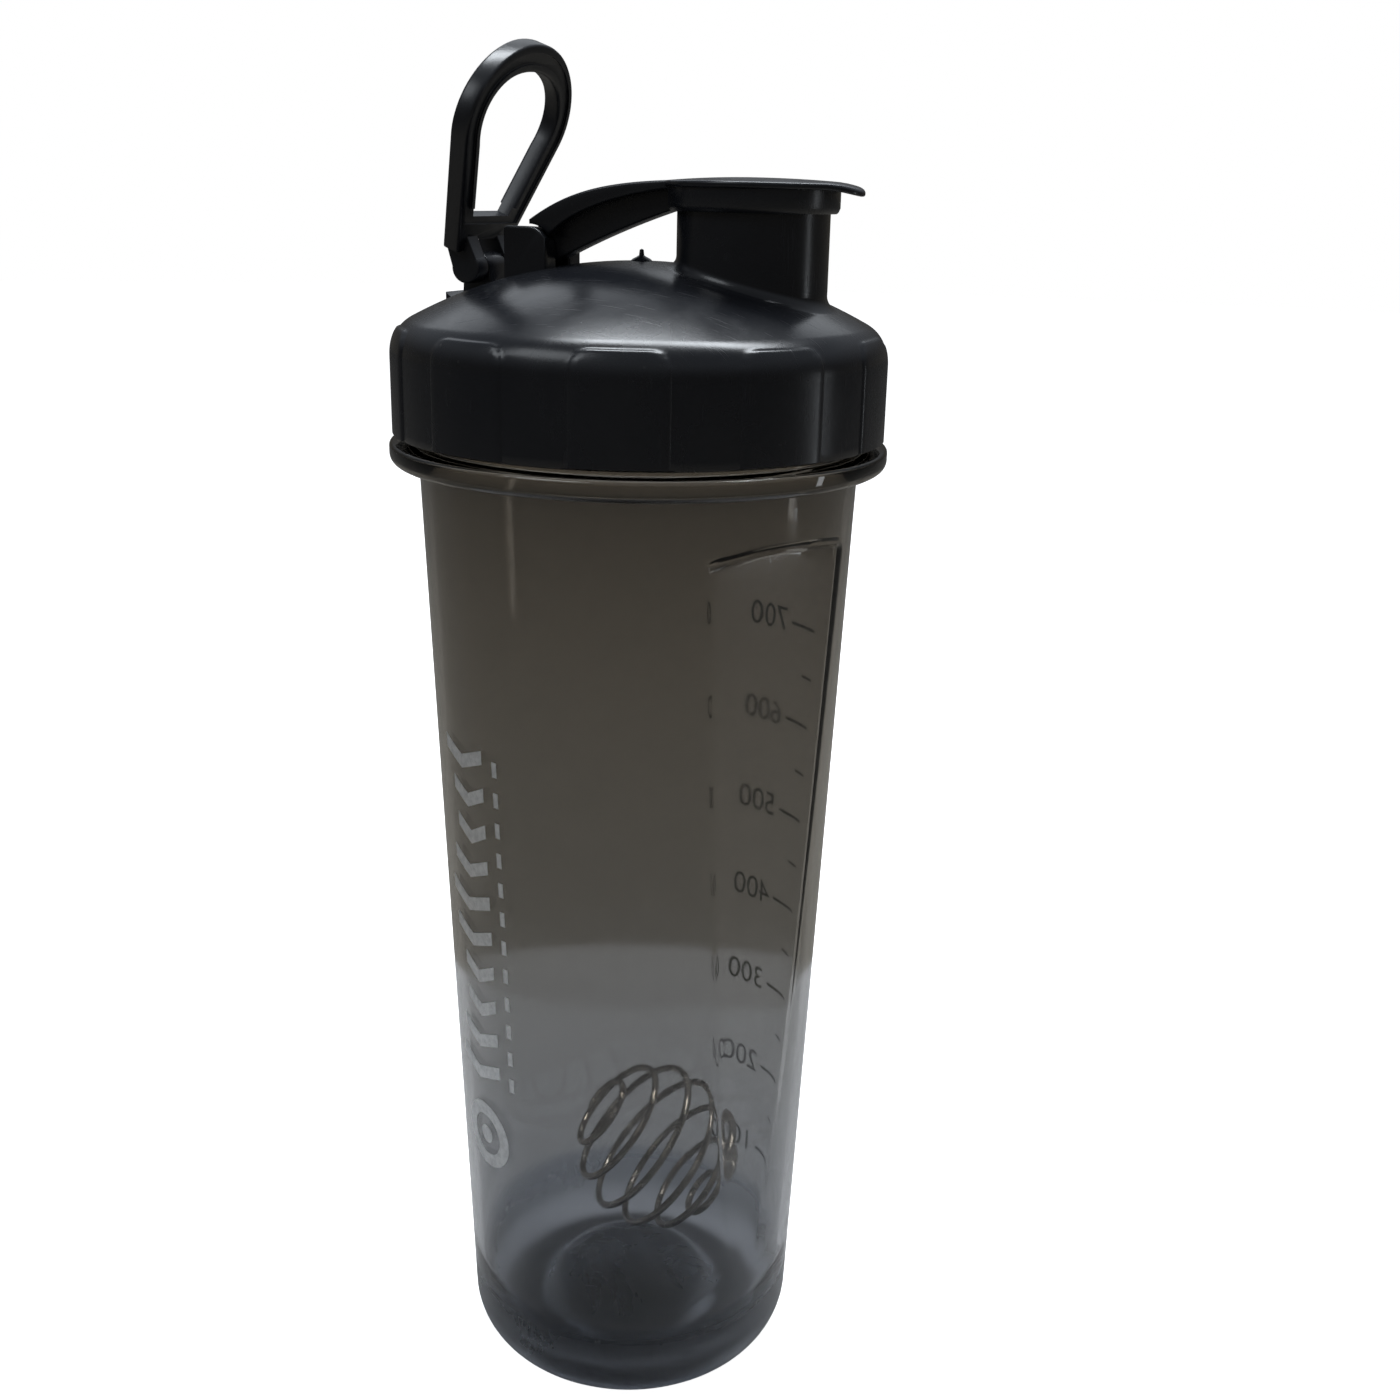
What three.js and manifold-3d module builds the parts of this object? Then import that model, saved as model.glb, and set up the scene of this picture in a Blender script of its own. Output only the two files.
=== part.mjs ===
// Protein shaker bottle: tapered cup, screw lid with a pouring spout, hinged flip cap,
// hinged carry loop, lid gasket, two hinge pins and a loose wire whisk ball.
// Millimetres, +Z up. Origin: centre of the foot ring, on the surface it stands on.
// +X points from the hinges towards the spout and the cap's thumb lip.
import * as THREE from 'three';
import { mergeVertices } from 'three/addons/utils/BufferGeometryUtils.js';
import Module from 'manifold-3d';

const wasm = await Module();
wasm.setup();

// ---- driving dimensions -------------------------------------------------------------
const ROUND = 48; // facets round the big turned parts
const SMALL_ROUND = 28; // facets round the spout, skirt and pins
const GAP = 0.35; // clearance between pieces that meet

// cup
const WALL = 1.9;
const FOOT_INNER = 18.2;
const FOOT_OUTER = 23;
const BASE_RADIUS = 35.2; // wall radius where the base rounding ends
const BASE_ROUND_TOP = 12.2;
const SHOULDER_RADIUS = 42.5; // wall radius under the flange
const FLANGE_BOTTOM = 197.4;
const FLANGE_TOP = 201.5;
const FLANGE_RADIUS = 48;
const NECK_RADIUS = 42.8;
const NECK_INNER = 40.9;
const RIM = 219.5;
const PANEL_ANGLE = -26; // direction of the flat measuring panel, degrees from +X
const PANEL_BOTTOM = 26;
const PANEL_TOP = 185.9;
const PANEL_DISTANCE_BOTTOM = 35.75; // flat panel's distance from the axis
const PANEL_DISTANCE_TOP = 38.35;
const PANEL_HALF_WIDTH = 24;
const PANEL_ARCH = 3.4; // rise of the arched top edge

// screw thread: right-handed, shared by neck and lid
const PITCH = 6;
const NECK_THREAD_START = 205;
const NECK_THREAD_CREST = 44.3;
const LID_THREAD_OFFSET = -2.1; // lid ridge lies under the neck ridge
const LID_THREAD_CREST = 43.35;
const THREAD_TURNS = 1.3;

// lid
const LID_BOTTOM = 202.8;
const LID_RADIUS = 46.95;
const LID_INNER = 45.0;
const PAD_RADIUS = 47.45; // grip pads stand a little proud of the wall
const PAD_COUNT = 10;
const PAD_WIDTH = 16.8;
const PAD_TOP = 222.6;
const PAD_CORNER = 3;
const DOME_TOP = 235;
const DOME_CURVE = 92; // radius of the dome's arc
const DOME_EDGE = 43.2; // where the dome meets the shoulder rounding
const LID_SKIN = 2.2;
const SHOULDER_LOW = 217.4;
const SEAT = 221.9; // gasket seat
const SEAL_RIB_OUTER = 40.1;
const SEAL_RIB_INNER = 38.4;
const SEAL_RIB_BOTTOM = 217.6;
const GATE_NUB_RADIUS = 1.8;
const GATE_NUB_HEIGHT = 2.2;

// spout and flip cap
const SPOUT_X = 22;
const SPOUT_RADIUS = 14;
const SPOUT_BORE = 12;
const SPOUT_TOP = 248;
const SPOUT_FILLET = 1;
const CAP_PLATE = 2;
const CAP_BOTTOM = SPOUT_TOP + GAP;
const CAP_TOP = CAP_BOTTOM + CAP_PLATE;
const CAP_RADIUS = 16.3;
const CROWN = 0.8; // the cap's top falls this much from its middle to its edge
const SKIRT_OUTER = 15.7;
const SKIRT_INNER = 14.5;
const SKIRT_BOTTOM = 244.3;
const PLUG_OUTER = 11.4;
const PLUG_TIP = 11.0;
const PLUG_INNER = 10;
const PLUG_BOTTOM = 245;
const LIP_REACH = 20.5; // thumb lip's tip, from the spout's axis
const LIP_RADIUS = 7;
const LIP_DROOP = 1.1;
const ARM_HALF_WIDTH = 6;
const WEB_HALF_WIDTH = 2.6;

// cap hinge: two ears on the lid, the arm's knuckle between them
const CAP_PIVOT = new THREE.Vector2(-20.6, 236.4); // x, z
const EAR_HALF_LENGTH = 4.3;
const EAR_INNER = 3;
const EAR_OUTER = 8;
const CHEEK_INNER = 6.35; // square-topped cheeks close the ears' outer faces, beside the arm
const CHEEK_RISE = 4.4; // from the pivot to a cheek's top
const PIN_REACH = 7.1; // half length of both pins, in blind holes
const KNUCKLE_RADIUS = 3.3;
const CAP_PIN_RADIUS = 1.5;

// carry loop: a leaning teardrop plate whose two eyes straddle the lid's lug
const LOOP_PIVOT = new THREE.Vector2(-33, 232.8); // x, z
const LOOP_LEAN = 20.4; // degrees forward of upright
const LOOP_BACKSET = 3.2; // plate's middle plane, behind the pivot
const LOOP_THICKNESS = 3.6;
const LOOP_HEIGHT = 42.2; // from the pivot's level to the top
const LOOP_WIDTH = 5.2; // width of the ring
const EYE_RADIUS = 2.9;
const EYE_INNER = 4.1;
const EYE_OUTER = 8.2;
const LUG_HALF_WIDTH = 3.7;
const LUG_RADIUS = 2.8;
const LOOP_PIN_RADIUS = 1.4;
const SWEEP_RADIUS = 6.2; // space the loop's heels need round the pivot
const PEDESTAL_BACK = -37.3;
const PEDESTAL_FRONT = -26;
const PEDESTAL_TOP = 228.2;
const BOSS_ROOT = 222; // the bosses start here, inside the dome's skin
const SWEEP_REACH = 12; // half length of the cutter that clears the loop's swing

// gasket
const GASKET_INNER = 40.7;
const GASKET_OUTER = 43.9;

// whisk ball
const BALL_CENTRE = new THREE.Vector3(0, 14.6, 34.8);
const BALL_RADIUS = 18.8; // outside of the wire
const WIRE_RADIUS = 0.8;
const BALL_TURNS = 6.5;
const BALL_TILT = -48; // degrees from upright, about the Y direction
const BALL_HEADING = 24; // degrees, about the Z direction

// ---- small helpers --------------------------------------------------------------------
const rad = THREE.MathUtils.degToRad;
const v2 = (x, y) => new THREE.Vector2(x, y);

// A closed three.js geometry as a solid that can be cut and joined.
function solid(geometry) {
  let bare = geometry.clone();
  bare.deleteAttribute('normal');
  bare.deleteAttribute('uv');
  bare = mergeVertices(bare, 1e-4);
  const index = bare.index.array;
  const kept = [];
  for (let i = 0; i < index.length; i += 3) {
    const [a, b, c] = [index[i], index[i + 1], index[i + 2]];
    if (a !== b && b !== c && c !== a) kept.push(a, b, c);
  }
  if (signedVolume(bare.attributes.position, kept) < 0) kept.reverse();
  return new wasm.Manifold(
    new wasm.Mesh({
      numProp: 3,
      vertProperties: new Float32Array(bare.attributes.position.array),
      triVerts: new Uint32Array(kept),
    }),
  );
}

function signedVolume(position, index) {
  const [a, b, c] = [new THREE.Vector3(), new THREE.Vector3(), new THREE.Vector3()];
  let sum = 0;
  for (let i = 0; i < index.length; i += 3) {
    a.fromBufferAttribute(position, index[i]);
    b.fromBufferAttribute(position, index[i + 1]);
    c.fromBufferAttribute(position, index[i + 2]);
    sum += a.dot(b.cross(c));
  }
  return sum / 6;
}

function geometryOf(body) {
  const mesh = body.getMesh();
  const geometry = new THREE.BufferGeometry();
  geometry.setAttribute('position', new THREE.BufferAttribute(mesh.vertProperties, 3));
  geometry.setIndex(new THREE.BufferAttribute(mesh.triVerts, 1));
  geometry.computeVertexNormals();
  return geometry;
}

const join = (first, ...rest) => rest.reduce((whole, piece) => whole.add(piece), first);
const cut = (first, ...rest) => rest.reduce((whole, piece) => whole.subtract(piece), first);

// Turned solid about Z from a list of [radius, height] pairs.
function turned(profile, facets = ROUND) {
  const points = profile.map(([r, z]) => v2(r, z));
  return solid(new THREE.LatheGeometry(points, facets).rotateX(Math.PI / 2));
}

function rod(radius, low, high, x = 0, facets = SMALL_ROUND) {
  const geometry = new THREE.CylinderGeometry(radius, radius, high - low, facets);
  return solid(geometry.rotateX(Math.PI / 2).translate(x, 0, (low + high) / 2));
}

// Cylinder along Y with its axis at pivot = (x, z).
function crossRod(radius, left, right, pivot, facets = SMALL_ROUND) {
  const geometry = new THREE.CylinderGeometry(radius, radius, right - left, facets);
  return solid(geometry.translate(pivot.x, (left + right) / 2, pivot.y));
}

const pinHole = (radius, pivot) =>
  crossRod(radius + GAP, -PIN_REACH - GAP, PIN_REACH + GAP, pivot, 20);

// An outline in the X-Z plane, extruded along Y from left to right.
function sideways(shape, left, right, curveSegments = 12) {
  const geometry = new THREE.ExtrudeGeometry(shape, {
    depth: right - left, bevelEnabled: false, curveSegments,
  });
  return solid(geometry.rotateX(Math.PI / 2).translate(0, right, 0));
}

function box(x0, x1, y0, y1, z0, z1) {
  const geometry = new THREE.BoxGeometry(x1 - x0, y1 - y0, z1 - z0);
  return solid(geometry.translate((x0 + x1) / 2, (y0 + y1) / 2, (z0 + z1) / 2));
}

// Points of an elliptical arc in the turned profile's plane, ends included.
function arc(cx, cz, rx, rz, from, to, steps) {
  return Array.from({ length: steps + 1 }, (_, i) => {
    const angle = rad(from + ((to - from) * i) / steps);
    return [cx + rx * Math.cos(angle), cz + rz * Math.sin(angle)];
  });
}

// A trapezoid ridge wound into a helix; its height ramps up and down at the two ends.
function threadRidge(rootRadius, crestRadius, rootHalf, crestHalf, startZ, startAngle) {
  const section = new THREE.Shape([
    v2(0, -rootHalf), v2(1, -crestHalf), v2(1, crestHalf), v2(0, rootHalf),
  ]);
  const steps = Math.round(THREAD_TURNS * ROUND);
  const straight = new THREE.ExtrudeGeometry(section, { depth: 1, steps, bevelEnabled: false });
  const at = straight.attributes.position;
  for (let i = 0; i < at.count; i += 1) {
    const along = at.getZ(i);
    const ramp = Math.min(1, 0.1 + 9 * along, 0.1 + 9 * (1 - along));
    const radius = rootRadius + (crestRadius - rootRadius) * at.getX(i) * ramp;
    const turn = along * THREAD_TURNS;
    const angle = rad(startAngle) + turn * 2 * Math.PI;
    const height = startZ + turn * PITCH + at.getY(i);
    at.setXYZ(i, radius * Math.cos(angle), radius * Math.sin(angle), height);
  }
  return solid(straight);
}

// ---- cup --------------------------------------------------------------------------------
// Slab beyond the flat panel, with an arched top; inset moves its face towards the axis.
function panelSlab(inset) {
  const outline = new THREE.Shape();
  const lift = inset * 0.6;
  outline.moveTo(-PANEL_HALF_WIDTH, PANEL_BOTTOM - 20);
  outline.lineTo(PANEL_HALF_WIDTH, PANEL_BOTTOM - 20);
  outline.lineTo(PANEL_HALF_WIDTH, PANEL_TOP - PANEL_ARCH + lift);
  outline.quadraticCurveTo(
    0, PANEL_TOP + PANEL_ARCH + lift, -PANEL_HALF_WIDTH, PANEL_TOP - PANEL_ARCH + lift,
  );
  const slab = new THREE.ExtrudeGeometry(outline, {
    depth: 20, bevelEnabled: false, curveSegments: 10,
  });
  slab.rotateX(Math.PI / 2).rotateZ(Math.PI / 2); // across -> Y, up -> Z, depth -> X
  const run = (PANEL_DISTANCE_TOP - PANEL_DISTANCE_BOTTOM) / (PANEL_TOP - PANEL_BOTTOM);
  const at = slab.attributes.position;
  for (let i = 0; i < at.count; i += 1) {
    at.setX(i, at.getX(i) + PANEL_DISTANCE_BOTTOM - inset + run * (at.getZ(i) - PANEL_BOTTOM));
  }
  return solid(slab.rotateZ(rad(PANEL_ANGLE)));
}

function makeCup() {
  const outside = turned([
    [0, 14.2], [9, 13.3], [14.5, 10.2], [17.2, 4], [FOOT_INNER, 0], [FOOT_OUTER, 0],
    ...arc(FOOT_OUTER, BASE_ROUND_TOP, BASE_RADIUS - FOOT_OUTER, BASE_ROUND_TOP, -75, 0, 6),
    [SHOULDER_RADIUS, FLANGE_BOTTOM], [46.6, FLANGE_BOTTOM + 0.5],
    [FLANGE_RADIUS, FLANGE_BOTTOM + 1.9], [FLANGE_RADIUS, FLANGE_TOP - 0.6],
    [FLANGE_RADIUS - 0.6, FLANGE_TOP], [NECK_RADIUS, FLANGE_TOP],
    [NECK_RADIUS, RIM - 0.5], [NECK_RADIUS - 0.5, RIM], [0, RIM],
  ]);
  const inside = turned([
    [0, 16.6], [9.5, 15.7], [15.5, 12.8], [20, 8.6], [25, 7], [29, 8.6], [32.2, 13.5],
    [BASE_RADIUS + 0.35 - WALL, 23], [SHOULDER_RADIUS - WALL, FLANGE_BOTTOM],
    [NECK_INNER, FLANGE_TOP], [NECK_INNER, RIM + 1], [0, RIM + 1],
  ]);
  const ridge = threadRidge(
    NECK_RADIUS - 0.5, NECK_THREAD_CREST, 1.2, 0.6, NECK_THREAD_START, 0,
  );
  return cut(
    join(outside.subtract(panelSlab(0)), ridge),
    inside.subtract(panelSlab(WALL)),
  );
}

// ---- lid --------------------------------------------------------------------------------
const domeHeight = (r) => DOME_TOP - DOME_CURVE + Math.sqrt(DOME_CURVE ** 2 - r ** 2);
const domePoints = (from, to, steps, drop) =>
  Array.from({ length: steps + 1 }, (_, i) => {
    const r = from + ((to - from) * i) / steps;
    return [r, domeHeight(r) - drop];
  });

// Rounding between the wall and the dome, moved outwards by proud.
function shoulderPoints(proud) {
  const slope = -DOME_EDGE / Math.sqrt(DOME_CURVE ** 2 - DOME_EDGE ** 2);
  const wall = LID_RADIUS + proud;
  const edge = domeHeight(DOME_EDGE) + proud;
  return new THREE.QuadraticBezierCurve(
    v2(wall, SHOULDER_LOW), v2(wall, edge + slope * (wall - DOME_EDGE)), v2(DOME_EDGE, edge),
  ).getPoints(4).map((p) => [p.x, p.y]);
}

function lidShell() {
  return turned([
    ...domePoints(0, 36.8, 4, LID_SKIN), [SEAL_RIB_INNER, SEAT], [SEAL_RIB_INNER, SEAL_RIB_BOTTOM],
    [SEAL_RIB_OUTER, SEAL_RIB_BOTTOM], [SEAL_RIB_OUTER, SEAT], [44.2, SEAT], [LID_INNER, SEAT - 2],
    [LID_INNER, LID_BOTTOM], [LID_RADIUS - 0.5, LID_BOTTOM], [LID_RADIUS, LID_BOTTOM + 0.5],
    ...shoulderPoints(0),
    ...domePoints(DOME_EDGE, 0, 5, 0).slice(1),
  ]);
}

function gripPads() {
  const half = PAD_WIDTH / 2;
  const outline = new THREE.Shape();
  outline.moveTo(-half, LID_BOTTOM + 0.5);
  outline.lineTo(half, LID_BOTTOM + 0.5);
  outline.lineTo(half, PAD_TOP - PAD_CORNER);
  outline.quadraticCurveTo(half, PAD_TOP, half - PAD_CORNER, PAD_TOP);
  outline.lineTo(-half + PAD_CORNER, PAD_TOP);
  outline.quadraticCurveTo(-half, PAD_TOP, -half, PAD_TOP - PAD_CORNER);
  const prism = new THREE.ExtrudeGeometry(outline, {
    depth: 12, bevelEnabled: false, curveSegments: 4,
  });
  prism.rotateX(Math.PI / 2).rotateZ(Math.PI / 2).translate(LID_RADIUS - 8, 0, 0);
  const pads = Array.from({ length: PAD_COUNT }, (_, i) =>
    solid(prism.clone().rotateZ(rad((i * 360) / PAD_COUNT))),
  );
  const inner = LID_INNER + 0.5;
  const band = turned([
    [inner, LID_BOTTOM], [PAD_RADIUS, LID_BOTTOM], ...shoulderPoints(PAD_RADIUS - LID_RADIUS),
    [DOME_EDGE, SEAT + 1.3], [inner, SEAT - 0.9], [inner, LID_BOTTOM],
  ]);
  return join(...pads).intersect(band);
}

// Ears for the flip cap and the lug for the carry loop, on a low pedestal.
function hingeBosses() {
  const ear = new THREE.Shape();
  ear.moveTo(CAP_PIVOT.x - EAR_HALF_LENGTH, 230);
  ear.lineTo(CAP_PIVOT.x + EAR_HALF_LENGTH, 230);
  ear.lineTo(CAP_PIVOT.x + EAR_HALF_LENGTH, CAP_PIVOT.y);
  ear.absarc(CAP_PIVOT.x, CAP_PIVOT.y, EAR_HALF_LENGTH, 0, Math.PI, false);
  const ears = join(
    sideways(ear, -EAR_OUTER, -EAR_INNER),
    sideways(ear, EAR_INNER, EAR_OUTER),
  );
  const cheek = new THREE.Shape([
    v2(-EAR_HALF_LENGTH, 230), v2(EAR_HALF_LENGTH, 230),
    v2(EAR_HALF_LENGTH, CAP_PIVOT.y + CHEEK_RISE - 2), v2(1, CAP_PIVOT.y + CHEEK_RISE),
    v2(-EAR_HALF_LENGTH + 0.8, CAP_PIVOT.y + CHEEK_RISE),
    v2(-EAR_HALF_LENGTH, CAP_PIVOT.y + CHEEK_RISE - 0.8),
  ].map((corner) => corner.setX(corner.x + CAP_PIVOT.x)));
  const cheeks = join(
    sideways(cheek, -EAR_OUTER, -CHEEK_INNER),
    sideways(cheek, CHEEK_INNER, EAR_OUTER),
  );
  const lug = new THREE.Shape();
  lug.moveTo(LOOP_PIVOT.x - LUG_RADIUS - 0.6, BOSS_ROOT);
  lug.lineTo(LOOP_PIVOT.x + LUG_RADIUS + 1.4, BOSS_ROOT);
  lug.lineTo(LOOP_PIVOT.x + LUG_RADIUS, LOOP_PIVOT.y);
  lug.absarc(LOOP_PIVOT.x, LOOP_PIVOT.y, LUG_RADIUS, 0, Math.PI, false);
  const pedestal = cut(
    box(PEDESTAL_BACK, PEDESTAL_FRONT, -EAR_OUTER - 0.6, EAR_OUTER + 0.6, BOSS_ROOT, PEDESTAL_TOP),
    crossRod(SWEEP_RADIUS, -SWEEP_REACH, SWEEP_REACH, LOOP_PIVOT),
  );
  return join(pedestal, ears, cheeks, sideways(lug, -LUG_HALF_WIDTH, LUG_HALF_WIDTH));
}

function makeLid() {
  const spout = turned([
    [0, 226], [SPOUT_RADIUS + SPOUT_FILLET, 226], [SPOUT_RADIUS, 231],
    [SPOUT_RADIUS, SPOUT_TOP - 0.6], [SPOUT_RADIUS - 0.6, SPOUT_TOP], [0, SPOUT_TOP],
  ], SMALL_ROUND).translate([SPOUT_X, 0, 0]);
  const underside = turned([
    [0, 210], ...domePoints(SEAL_RIB_INNER - 0.01, 0, 4, LID_SKIN),
  ]);
  const nub = turned([
    [0, DOME_TOP - 1], [GATE_NUB_RADIUS, DOME_TOP - 1], [GATE_NUB_RADIUS, DOME_TOP + 0.1],
    [0.5, DOME_TOP + 0.9], [0.35, DOME_TOP + GATE_NUB_HEIGHT], [0, DOME_TOP + GATE_NUB_HEIGHT],
  ], 12);
  const ridge = threadRidge(
    LID_INNER + 0.4, LID_THREAD_CREST, 1.1, 0.5, NECK_THREAD_START + LID_THREAD_OFFSET + 1, 60,
  );
  const bosses = join(spout, hingeBosses()).subtract(underside);
  return cut(
    join(lidShell(), gripPads(), ridge, nub, bosses),
    rod(SPOUT_BORE, 205, SPOUT_TOP + 1, SPOUT_X),
    pinHole(CAP_PIN_RADIUS, CAP_PIVOT),
    pinHole(LOOP_PIN_RADIUS, LOOP_PIVOT),
  );
}

// ---- gasket -----------------------------------------------------------------------------
function makeGasket() {
  return turned([
    [GASKET_INNER, RIM + GAP], [GASKET_OUTER, RIM + GAP], [GASKET_OUTER, SEAT - GAP],
    [GASKET_INNER, SEAT - GAP], [GASKET_INNER, RIM + GAP],
  ]);
}

// ---- flip cap ---------------------------------------------------------------------------
// The arm's top line, from the nose over the hinge to the cap plate.
const ARM_NOSE = v2(CAP_PIVOT.x, CAP_PIVOT.y + EAR_HALF_LENGTH + 0.5);
const ARM_END = 10;
const armTop = new THREE.CubicBezierCurve(
  v2(ARM_NOSE.x, ARM_NOSE.y + 0.8), v2(-13.5, 246.7),
  v2(-6.5, 249.2), v2(ARM_END, CAP_TOP - CROWN + 0.1),
);

function capArm() {
  const topPoints = armTop.getPoints(14);
  const clear = EAR_HALF_LENGTH + 0.5;
  const flange = new THREE.Shape(topPoints);
  flange.lineTo(ARM_END, CAP_BOTTOM);
  flange.bezierCurveTo(-4, 246.8, -11, 243.6, -14.6, 240.9);
  flange.lineTo(CAP_PIVOT.x + clear * Math.cos(rad(35)), CAP_PIVOT.y + clear * Math.sin(rad(35)));
  flange.absarc(CAP_PIVOT.x, CAP_PIVOT.y, clear, rad(35), Math.PI / 2, false);
  const web = new THREE.Shape();
  web.moveTo(CAP_PIVOT.x + 1, CAP_PIVOT.y - KNUCKLE_RADIUS + 0.3);
  web.lineTo(-16.5, 234.6);
  web.quadraticCurveTo(-8, 238.9, SPOUT_X - SKIRT_OUTER + 0.6, SKIRT_BOTTOM);
  web.lineTo(SPOUT_X - SKIRT_OUTER + 0.6, CAP_TOP - 1.2);
  web.lineTo(-4, 247.6);
  web.lineTo(-14, 244);
  web.lineTo(CAP_PIVOT.x, CAP_PIVOT.y + 3);
  const knuckle = crossRod(KNUCKLE_RADIUS, -WEB_HALF_WIDTH, WEB_HALF_WIDTH, CAP_PIVOT, 24);
  return join(
    sideways(flange, -ARM_HALF_WIDTH, ARM_HALF_WIDTH),
    sideways(web, -WEB_HALF_WIDTH, WEB_HALF_WIDTH),
    knuckle,
  );
}

function makeFlipCap() {
  const tip = LIP_REACH - LIP_RADIUS;
  const spread = Math.acos((CAP_RADIUS - LIP_RADIUS) / tip);
  const plan = new THREE.Shape();
  plan.absarc(0, 0, CAP_RADIUS, spread, 2 * Math.PI - spread, false);
  plan.absarc(tip, 0, LIP_RADIUS, -spread, spread, false);
  const prism = new THREE.ExtrudeGeometry(plan, {
    depth: 8, bevelEnabled: false, curveSegments: 24,
  });
  const planPrism = solid(prism.translate(SPOUT_X, 0, CAP_TOP - 6));
  const side = new THREE.Shape(); // the flat plate, then the thumb lip drooping past the skirt
  const lipRoot = SPOUT_X + SKIRT_INNER + 0.5;
  const tipX = SPOUT_X + LIP_REACH + 1;
  side.moveTo(SPOUT_X - CAP_RADIUS - 1, CAP_BOTTOM);
  side.lineTo(lipRoot, CAP_BOTTOM);
  side.quadraticCurveTo((lipRoot + tipX) / 2, CAP_BOTTOM, tipX, CAP_BOTTOM - LIP_DROOP);
  side.lineTo(tipX, CAP_TOP - LIP_DROOP);
  side.quadraticCurveTo((lipRoot + tipX) / 2, CAP_TOP, lipRoot, CAP_TOP);
  side.lineTo(SPOUT_X - CAP_RADIUS - 1, CAP_TOP);
  const crown = turned([
    [0, CAP_TOP - 10], [30, CAP_TOP - 10], [30, CAP_TOP - CROWN], [CAP_RADIUS, CAP_TOP - CROWN],
    [8, CAP_TOP - 0.2], [0, CAP_TOP],
  ], SMALL_ROUND).translate([SPOUT_X, 0, 0]);
  const plate = sideways(side, -CAP_RADIUS - 1, CAP_RADIUS + 1, 5)
    .intersect(planPrism).intersect(crown);
  const ring = (outer, tipOuter, inner, low) => turned([
    [inner, CAP_BOTTOM + 0.5], [inner, low], [tipOuter, low],
    [outer, low + 1], [outer, CAP_BOTTOM + 0.5], [inner, CAP_BOTTOM + 0.5],
  ], SMALL_ROUND).translate([SPOUT_X, 0, 0]);
  const spoutRoom = rod(SKIRT_INNER, SKIRT_BOTTOM - 4, CAP_BOTTOM, SPOUT_X);
  const arm = capArm().subtract(spoutRoom);
  return cut(
    join(
      plate, arm,
      ring(SKIRT_OUTER, SKIRT_OUTER - 0.3, SKIRT_INNER, SKIRT_BOTTOM),
      ring(PLUG_OUTER, PLUG_TIP, PLUG_INNER, PLUG_BOTTOM),
    ),
    pinHole(CAP_PIN_RADIUS, CAP_PIVOT),
  );
}

// ---- carry loop ---------------------------------------------------------------------------
// Outline of the teardrop: a straight leg line and a rounded top. Inset makes the hole.
function teardrop(inset, foot) {
  const leg = inset * 1.1;
  const top = LOOP_HEIGHT - inset;
  const slope = 0.452;
  const footWidth = 8.8 + slope * foot - leg;
  const shoulderWidth = 19.2 - leg;
  const shape = new THREE.Shape();
  shape.moveTo(footWidth, foot);
  shape.lineTo(shoulderWidth, 23);
  shape.bezierCurveTo(23.6 - leg, 31.5 - inset * 0.3, 14.5 - inset * 0.5, top, 0, top);
  shape.bezierCurveTo(-14.5 + inset * 0.5, top, -23.6 + leg, 31.5 - inset * 0.3, -shoulderWidth, 23);
  shape.lineTo(-footWidth, foot);
  return shape;
}

function makeCarryLoop() {
  const half = LOOP_THICKNESS / 2;
  const ring = teardrop(0, 2.4);
  ring.holes.push(teardrop(LOOP_WIDTH, 9.4));
  const fingerGap = new THREE.Shape([
    v2(-EYE_INNER, 0), v2(EYE_INNER, 0), v2(EYE_INNER, 5), v2(-EYE_INNER, 5),
  ]);
  const upright = (shape, depth, back) => solid(
    new THREE.ExtrudeGeometry(shape, { depth, bevelEnabled: false, curveSegments: 14 })
      .rotateX(Math.PI / 2).rotateZ(Math.PI / 2).translate(back, 0, 0),
  );
  const plate = upright(ring, LOOP_THICKNESS, -LOOP_BACKSET - half);
  const heel = new THREE.Shape();
  heel.moveTo(-LOOP_BACKSET - half, 6);
  heel.lineTo(-LOOP_BACKSET - half, 2.3);
  heel.lineTo(-3.3, 0);
  heel.lineTo(-2.4, -1.2);
  heel.lineTo(0, 0);
  heel.lineTo(1.6, 2.3);
  heel.lineTo(-LOOP_BACKSET + half, 5.6);
  heel.lineTo(-LOOP_BACKSET + half, 6);
  const level = v2(0, 0);
  const eye = (left, right) => join(
    crossRod(EYE_RADIUS, left, right, level, 24),
    sideways(heel, left, right),
  );
  const whole = cut(
    join(plate, eye(EYE_INNER, EYE_OUTER), eye(-EYE_OUTER, -EYE_INNER)),
    upright(fingerGap, 12, -9),
    pinHole(LOOP_PIN_RADIUS, level),
  );
  return whole.rotate([0, LOOP_LEAN, 0]).translate([LOOP_PIVOT.x, 0, LOOP_PIVOT.y]);
}

// ---- hinge pins -----------------------------------------------------------------------------
function makePin(radius, halfLength, pivot) {
  const taper = 0.3;
  const profile = [
    v2(0, -halfLength), v2(radius - taper, -halfLength), v2(radius, -halfLength + taper),
    v2(radius, halfLength - taper), v2(radius - taper, halfLength), v2(0, halfLength),
  ];
  return solid(new THREE.LatheGeometry(profile, 20).translate(pivot.x, 0, pivot.y));
}

// ---- whisk ball -----------------------------------------------------------------------------
class BallSpiral extends THREE.Curve {
  getPoint(t, target = new THREE.Vector3()) {
    const radius = BALL_RADIUS - WIRE_RADIUS;
    const polar = rad(9) + t * rad(162);
    const around = t * BALL_TURNS * 2 * Math.PI;
    return target.set(
      radius * Math.sin(polar) * Math.cos(around),
      radius * Math.sin(polar) * Math.sin(around),
      -radius * Math.cos(polar),
    );
  }
}

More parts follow.
